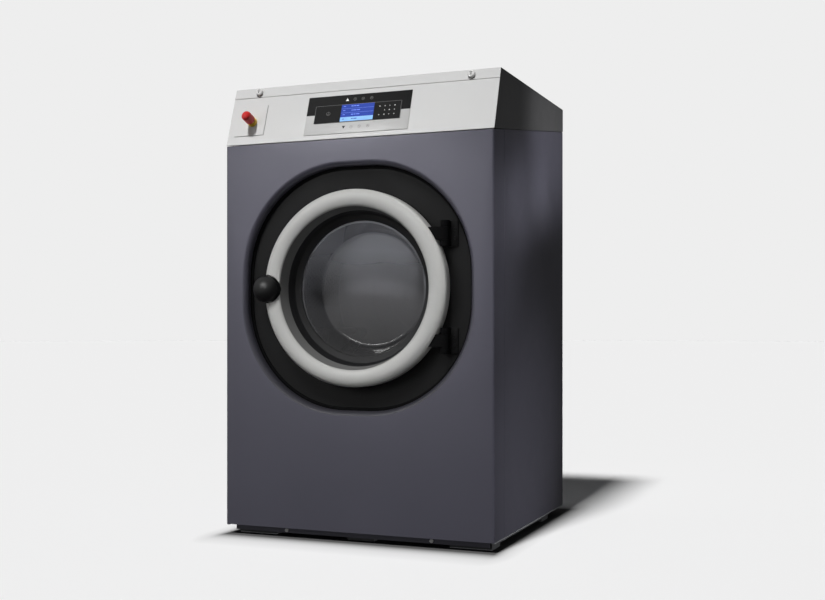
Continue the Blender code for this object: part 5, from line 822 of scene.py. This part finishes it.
def display_foil():
    """The display's foil in its two tones, and the raised bar that holds the screen."""
    across = (-DISPLAY_HALF, DISPLAY_HALF)
    slant_block("display_dark_half", across, (DISPLAY_DROP, DISPLAY_SPLIT), (GAP, DISPLAY_PROUD), "cabinet",
                BLACK_FOIL, DISPLAY_EDGE, ("display_frame",))
    slant_block("display_light_half", across, (DISPLAY_SPLIT, DISPLAY_FOOT), (GAP, DISPLAY_PROUD),
                "cabinet", SILVER_FOIL, DISPLAY_EDGE)
    slant_block("display_bar", (-BAR_HALF, BAR_HALF), (BAR_DROP, BAR_FOOT),
                (BAR_SINK, BAR_PROUD - BAR_STEP), "cabinet", GREY_PRINT, BAR_EDGE)
    for side, x in (("left", (BAR_RIM - BAR_HALF, -LCD_HALF)), ("right", (LCD_HALF, BAR_HALF - BAR_RIM))):
        slant_block(f"display_bar_{side}", x, (BAR_DROP + BAR_RIM, BAR_FOOT - BAR_FOOT_RIM),
                    (BAR_PROUD - BAR_PLATE, BAR_PROUD), "cabinet", BLACK_FOIL)


def screen_print():
    """The lit screen: lines between its rows, entries on them and a pale last row with dark entries."""
    rules = [LCD_DROP + LCD_ROW * k for k in (1, 2)]
    printed("screen_rows", [bar_outline(LCD_MARGIN - LCD_HALF, LCD_HALF - LCD_MARGIN, drop - LCD_RULE, drop)
                            for drop in rules], FACE, LCD_LINE)
    printed("screen_foot", [bar_outline(-LCD_HALF, LCD_HALF, LCD_FOOT - LCD_ROW, LCD_FOOT)], FACE, LCD_PALE)
    marks = []
    for row, (x, widths) in enumerate(ENTRIES):
        middle = LCD_DROP + LCD_ROW * (row + ENTRY_DROP)
        for width in widths:
            marks.append(bar_outline(x, x + width, middle - ENTRY_HALF, middle + ENTRY_HALF))
            x += width + ENTRY_GAP
        marks.append(bar_outline(MARK_LEFT, MARK_RIGHT, middle - MARK_HALF, middle + MARK_HALF))
    printed("screen_entries", marks, FACE, LCD_LINE)
    middle = LCD_FOOT - LCD_ROW * FOOT_DROP
    marks = [bar_outline(left, right, middle - FOOT_ENTRY_HALF, middle + FOOT_ENTRY_HALF)
             for left, right in FOOT_ENTRIES]
    marks.append(bar_outline(MARK_LEFT, MARK_RIGHT, middle - MARK_HALF, middle + MARK_HALF))
    printed("screen_foot_entries", marks, FACE + PRINT, LCD_BLUE)


def key_print():
    """The printed keys at the right of the screen, and the start sign at its left."""
    keys = []
    for row, drop in enumerate(KEY_DROPS):
        for column, x in enumerate(KEY_X):
            if row != 1 or column:
                keys.append(round_outline(x, drop, KEY_SMALL if (row + column) % 3 else KEY_LARGE))
    printed("key_marks", keys, FACE, PALE_PRINT)
    start = [ring_outline(START_X, START_DROP, START_RADIUS, START_LINE, -60, 240),
             bar_outline(START_X - START_BAR_HALF, START_X + START_BAR_HALF, START_DROP - START_BAR_TOP,
                         START_DROP - START_GAP),
             bar_outline(START_X - START_FOOT_HALF, START_X + START_FOOT_HALF, START_DROP + START_GAP,
                         START_DROP + START_GAP + START_FOOT_HEIGHT)]
    printed("start_mark", start, FACE, GREY_PRINT)


def sign_print():
    """An arrow and three round signs above the bar, and the same below it."""
    lift = DISPLAY_PROUD + PRINT
    for drop, way, bold, faint, label in ((SIGN_DROPS[0], -1, PALE_PRINT, FAINT_ON_DARK, "top"),
                                          (SIGN_DROPS[1], 1, DARK_PRINT, FAINT_ON_LIGHT, "foot")):
        x, back = SIGN_X[0], drop - way * ARROW_BACK
        arrow = [(x - ARROW_HALF, back), (x + ARROW_HALF, back), (x, drop + way * ARROW_TIP)]
        printed(f"arrow_{label}", [arrow], lift, bold)
        signs = []
        for k, x in enumerate(SIGN_X[1:]):
            half = SIGN_BAR + SIGN_BAR_STEP * k
            signs.append(ring_outline(x, drop, SIGN_RADIUS, SIGN_LINE))
            signs.append(bar_outline(x - half, x + half, drop - SIGN_THICK, drop + SIGN_THICK))
            signs.append(bar_outline(x - SIGN_THICK, x + SIGN_THICK, drop - half, drop - SIGN_THICK))
        printed(f"signs_{label}", signs, lift, faint)


def stop_plate():
    """The thin dark joint round the emergency stop's own plate."""
    left, right, top, foot = STOP_PLATE
    outline = frame_outline(left - STOP_JOINT, right + STOP_JOINT, top - STOP_JOINT, foot + STOP_JOINT,
                            STOP_JOINT)
    printed("stop_plate_joint", outline, STOP_JOINT_PROUD, JOINT_LINE)


def lid_locks():
    """Polished rims on the lid's two locks, and a black block in the slot of each plug, whose darkness is
    painted shade for the keyway.
    """
    for side, label in ((-1, "left"), (1, "right")):
        x = side * LOCK_X
        axes = SLANT_AXES @ Matrix.Translation((x, -LOCK_DROP, LOCK_PROUD))
        rim = turned("rim", rounded(LOCK_RIM, 0.0006, 3), axes, steps=64)
        add_piece(f"lid_lock_rim_{label}", rim, "top_lid", NICKEL)
        # The slot's black block is painted shade for the keyway.
        slant_block(f"lid_lock_slot_{label}", (x - SLOT_HALF, x + SLOT_HALF),
                    (LOCK_DROP - SLOT_LENGTH_HALF, LOCK_DROP + SLOT_LENGTH_HALF),
                    (LOCK_PROUD + SLOT_DEPTHS[0], LOCK_PROUD + SLOT_DEPTHS[1]), f"lid_lock_{label}", BLACK,
                    SLOT_EDGE)


display_foil()
screen_print()
key_print()
sign_print()
stop_plate()
lid_locks()


# The drum: its perforated wall and its pressed rear plate

DRUM_INNER = 0.2655
DRUM_REAR_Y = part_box("drum_shell")[1][1] - 0.0035
DRUM_WALL_BAND = 0.004
HOLE_PITCH = 0.0125
HOLE_RADIUS = 0.002
HOLE_EDGE = (0.8, 1.5)
# The holes' dark colour is painted shade for the gap behind the sheet.
HOLE_SHADE_COLOR = (0.012, 0.012, 0.012)
DRUM_TONES = ((0.0, (0.36, 0.36, 0.37)), (1.0, (0.5, 0.5, 0.51)))
REAR_PLATE = [(0.0, -0.0085), (0.04, -0.0085), (0.052, -0.006), (0.06, -0.0012), (0.1, -0.0012),
              (0.108, -0.004), (0.15, -0.004), (0.158, -0.0012), (0.214, -0.0012), (0.222, -0.0035),
              (0.24, -0.0035), (0.248, -0.0008), (0.264, -0.0008), (0.264, -0.0002), (0.0, -0.0002)]


def calc(tree, operation, first, second=0.0):
    """The result of a math node on two values or outputs."""
    made = node(tree, "ShaderNodeMath", operation=operation)
    feed(tree, made.inputs[0], first)
    feed(tree, made.inputs[1], second)
    return made.outputs["Value"]


def hypotenuse(tree, first, second):
    squares = [calc(tree, "MULTIPLY", side, side) for side in (first, second)]
    return calc(tree, "SQRT", calc(tree, "ADD", *squares))


def drum_wall():
    """Stainless sheet with rows of small round holes in its wall, drawn as dots of painted shade with a
    pressed edge.
    """
    material, tree, shader = base_material("drum_wall_stainless", 0.3, 0.9)
    coords = object_coords(tree)
    split = node(tree, "ShaderNodeSeparateXYZ", Vector=coords)
    height = calc(tree, "SUBTRACT", split.outputs["Z"], DOOR_HEIGHT)
    turn = calc(tree, "ARCTAN2", height, split.outputs["X"])
    across = calc(tree, "MULTIPLY", turn, DRUM_INNER / HOLE_PITCH)
    along = calc(tree, "MULTIPLY", split.outputs["Y"], 1 / HOLE_PITCH)
    odd = calc(tree, "MODULO", calc(tree, "ABSOLUTE", calc(tree, "FLOOR", along)), 2.0)
    shifted = calc(tree, "ADD", across, calc(tree, "MULTIPLY", odd, 0.5))
    beside = calc(tree, "SUBTRACT", calc(tree, "FRACT", shifted), 0.5)
    above = calc(tree, "SUBTRACT", calc(tree, "FRACT", along), 0.5)
    far = hypotenuse(tree, beside, above)
    radius = hypotenuse(tree, height, split.outputs["X"])
    on_wall = calc(tree, "GREATER_THAN", radius, DRUM_INNER - DRUM_WALL_BAND)
    hole_share = HOLE_RADIUS / HOLE_PITCH
    hole = calc(tree, "MULTIPLY", calc(tree, "LESS_THAN", far, hole_share), on_wall)
    noise = node(tree, "ShaderNodeTexNoise", Vector=coords, Scale=9.0, Detail=4.0)
    mix = node(tree, "ShaderNodeMix", data_type="RGBA")
    feed(tree, mix.inputs[0], hole)
    feed(tree, mix.inputs[6], toned(tree, noise.outputs["Fac"], DRUM_TONES))
    feed(tree, mix.inputs[7], (*HOLE_SHADE_COLOR, 1))
    tree.links.new(mix.outputs[2], shader.inputs["Base Color"])
    reach = node(tree, "ShaderNodeMapRange", Value=far, From_Min=hole_share * HOLE_EDGE[0],
                 From_Max=hole_share * HOLE_EDGE[1])
    pressed = calc(tree, "MULTIPLY", reach.outputs["Result"], on_wall)
    bump = node(tree, "ShaderNodeBump", Height=pressed, Strength=0.8, Distance=0.0008)
    tree.links.new(bump.outputs["Normal"], shader.inputs["Normal"])
    return material


def drum_rear():
    """The drum's rear plate with its pressed rings and the round boss over the shaft."""
    mesh = turned("drum_rear_plate", rounded(REAR_PLATE, 0.003, closed=False), axis_behind(DRUM_REAR_Y),
                  closed=False)
    add_piece("drum_rear_plate", mesh, "drum", DRUM_REAR)


dress("drum_shell", drum_wall())
drum_rear()


# Studio: a pale floor and backdrop, soft lights and the photograph's camera

CAMERA_PLACE = (1.1661, -2.8339, 0.5234)
CAMERA_TURN = 22.0
CAMERA_LENS = 49.97
CAMERA_SENSOR = 36.0
CAMERA_SHIFT = 0.0322
CAMERA_REACH = 60.0
STAGE_RADIUS = 40.0
STAGE_HEIGHT = 30.0
STAGE_STEPS = 96
FLOOR_COLOR = (0.9, 0.9, 0.9)
FOOT_MIDDLE = (0, 0.022, 0)
FOOT_HALF = (0.355, 0.3475, 1.0)
CONTACT_REACH = (2.5, 1.0, 0.0)
# Distance from the foot, and the share of the floor's colour there
CONTACT = ((0.0, 0.12), (0.014, 0.33), (0.034, 0.6), (0.054, 0.76), (0.074, 0.86), (0.14, 1.0))
BACKDROP_COLOR = (0.855, 0.855, 0.855)
FILL_COLOR = (0.04, 0.04, 0.041)
DOME_RADIUS = 30.0
DOME_FOOT = -20
DOME_ROWS, DOME_STEPS = 24, 48
SKY_AXIS = (-0.35, -0.45, 0.82)
# Level along the sky's axis, and its light
SKY = ((-1.0, 0.03), (-0.3, 0.05), (0.0, 0.06), (0.35, 0.12), (0.6, 0.44), (1.0, 0.62))
KEY_DIRECTION = (0.042, 0.55, -0.766)
KEY_STRENGTH = 3.53
KEY_SPREAD = 8
# Each lamp: name, place, target, cone in degrees, power and softness
SPOTS = (
    ("front", (-2.3, -2.9, 1.05), (-0.1, -0.32, 0.74), 18, 150, 0.45),
    ("glass_fill", (1.5, -2.7, 0.34), (0.0, -0.26, 0.655), 11, 190, 0.25),
    ("side_low_wide", (1.75, -0.1, -0.3), (0.355, -0.08, 0.2), 34, 58, 0.06),
    ("side_top_wide", (1.75, -0.15, 0.95), (0.355, -0.15, 0.95), 32, 16, 0.06),
    ("side_top_back", (1.75, 0.17, 1.03), (0.355, 0.17, 1.03), 22.7, 100, 0.06),
    ("side_front", (1.75, -0.35, 0.7), (0.355, -0.33, 0.7), 22.7, 32, 0.06),
    ("side_middle", (1.75, -0.1, 0.84), (0.355, -0.1, 0.84), 12.5, 66, 0.06),
    ("side_upper", (1.75, 0.05, 0.86), (0.355, 0.06, 0.86), 9.5, 60, 0.06),
    ("side_low_front", (1.75, -0.3, -0.3), (0.355, -0.3, 0.15), 32, 14, 0.06),
    ("side_front_upper", (1.75, -0.25, 0.8), (0.355, -0.25, 0.8), 11.5, 18, 0.06),
    ("left_side", (-2.7, 0.05, -0.4), (-0.355, 0.02, 0.62), 31, 260, 0.3),
    ("rear_left", (0.9, 2.7, -0.4), (0.12, 0.29, 0.66), 30, 190, 0.3),
    ("rear_right", (-0.9, 2.7, -0.4), (-0.12, 0.29, 0.66), 30, 190, 0.3),
)
# The card: name, place, target, size and power
TOP_CARD = ("top_card", (-1.45, -3.3, 1.85), (0.0, -0.32, 0.95), (1.5, 0.8), 27)


def stage_sheet(name, points, faces, material):
    """A sheet of the studio. Only the camera sees it, so it lights and mirrors in nothing."""
    mesh = bpy.data.meshes.new(name)
    mesh.from_pydata(points, [], faces)
    mesh.materials.append(material)
    sheet = place_object(name, mesh)
    sheet.visible_diffuse = sheet.visible_glossy = sheet.visible_transmission = sheet.visible_shadow = False


def contact_shade(tree, shader):
    """The floor's soft dark edge around the machine's foot, by the distance to it."""
    offset = object_coords(tree)
    for operation, value in (("SUBTRACT", FOOT_MIDDLE), ("ABSOLUTE", None), ("SUBTRACT", FOOT_HALF),
                             ("MAXIMUM", (0, 0, 0)), ("MULTIPLY", CONTACT_REACH)):
        step = node(tree, "ShaderNodeVectorMath", operation=operation, Vector=offset)
        if value is not None:
            step.inputs[1].default_value = value
        offset = step.outputs["Vector"]
    distance = node(tree, "ShaderNodeVectorMath", operation="LENGTH", Vector=offset).outputs["Value"]
    tones = [(reach, [share * part for part in FLOOR_COLOR]) for reach, share in CONTACT]
    tree.links.new(toned(tree, distance, tones), shader.inputs["Base Color"])


def studio_sheets():
    """A pale round floor inside a pale ring of backdrop."""
    paper, tree, shader = base_material("studio_paper", 0.9, Specular_IOR_Level=0.0)
    contact_shade(tree, shader)
    glow = base_material("studio_backdrop", 0.9, Specular_IOR_Level=0.0, Base_Color=(0, 0, 0, 1),
                         Emission_Color=(*BACKDROP_COLOR, 1), Emission_Strength=1.0)[0]
    turns = [math.tau * k / STAGE_STEPS for k in range(STAGE_STEPS)]
    low = [(STAGE_RADIUS * math.cos(a), STAGE_RADIUS * math.sin(a), 0) for a in turns]
    high = [(x, y, STAGE_HEIGHT) for x, y, z in low]
    stage_sheet("studio_floor", low, [tuple(range(STAGE_STEPS))], paper)
    around = [(k, (k + 1) % STAGE_STEPS, (k + 1) % STAGE_STEPS + STAGE_STEPS, k + STAGE_STEPS)
              for k in range(STAGE_STEPS)]
    stage_sheet("studio_backdrop", low + high, around, glow)


def dome_material():
    """Light that rises along the sky's axis, from dark below to pale above."""
    material, tree, shader = base_material("gloss_dome", 0.0)
    tree.nodes.remove(shader)
    height = node(tree, "ShaderNodeVectorMath", operation="DOT_PRODUCT", Vector=object_coords(tree))
    height.inputs[1].default_value = Vector(SKY_AXIS).normalized() / DOME_RADIUS
    level = node(tree, "ShaderNodeMapRange", Value=height.outputs["Value"], From_Min=-1.0)
    sky = toned(tree, level.outputs["Result"], [((rise + 1) / 2, [shade] * 3) for rise, shade in SKY])
    glow = node(tree, "ShaderNodeEmission", Color=sky)
    tree.links.new(glow.outputs["Emission"], tree.nodes["Material Output"].inputs["Surface"])
    return material


def gloss_dome():
    """A dome with the studio's soft gradient. It shows only in gloss, so shadows on the floor stay deep."""
    profile = ellipse(0, 0, DOME_RADIUS, DOME_RADIUS, DOME_FOOT, 90, DOME_ROWS)[:-1] + [(0.0, DOME_RADIUS)]
    mesh = turned("gloss_dome", profile, Matrix.Identity(4), DOME_STEPS, closed=False)
    mesh.materials.append(dome_material())
    dome = place_object("gloss_dome", mesh)
    dome.visible_camera = dome.visible_diffuse = dome.visible_transmission = dome.visible_shadow = False


def add_lamp(name, kind, location, target, power):
    """A lamp that looks from its location at a target."""
    light = bpy.data.lights.new(name, kind)
    light.energy = power
    made = place_object(name, light)
    made.location = location
    made.rotation_euler = (Vector(target) - Vector(location)).to_track_quat("-Z", "Y").to_euler()
    return made


def sun_light(name, direction, strength, degrees):
    """The key lamp. It leaves no hard glints, since the dome and the card stand for it in the gloss."""
    made = add_lamp(name, "SUN", (0, 0, 0), direction, strength)
    made.data.angle = math.radians(degrees)
    made.visible_glossy = False


def spot_lamp(name, location, target, degrees, power, softness):
    """A soft-edged lamp on a part of the machine. The floor lets the low ones through."""
    made = add_lamp(name, "SPOT", location, target, power)
    made.data.spot_size = math.radians(degrees)
    made.data.spot_blend = 1.0
    made.data.shadow_soft_size = softness
    made.visible_camera = made.visible_glossy = False


def gloss_card(name, location, target, size, power):
    """A bright card that shows only in the gloss of the paint."""
    made = add_lamp(name, "AREA", location, target, power)
    made.data.shape = "RECTANGLE"
    made.data.size, made.data.size_y = size
    made.visible_camera = made.visible_diffuse = False


def photo_camera():
    """The photograph's camera, fitted to its straight edges."""
    scene = bpy.context.scene
    camera = bpy.data.cameras.new("photo_camera")
    camera.lens = CAMERA_LENS
    camera.sensor_width = CAMERA_SENSOR
    camera.shift_y = CAMERA_SHIFT
    camera.clip_end = CAMERA_REACH
    made = place_object("photo_camera", camera)
    made.location = CAMERA_PLACE
    made.rotation_euler = (math.radians(90), 0, math.radians(CAMERA_TURN))
    scene.camera = made
    scene.view_settings.view_transform = "Standard"
    scene.view_settings.look = "None"


def studio():
    studio_sheets()
    gloss_dome()
    world = bpy.data.worlds.new("studio_world")
    world.use_nodes = True
    world.node_tree.nodes["Background"].inputs["Color"].default_value = (*FILL_COLOR, 1)
    bpy.context.scene.world = world
    sun_light("key", KEY_DIRECTION, KEY_STRENGTH, KEY_SPREAD)
    for lamp in SPOTS:
        spot_lamp(*lamp)
    gloss_card(*TOP_CARD)
    photo_camera()


studio()
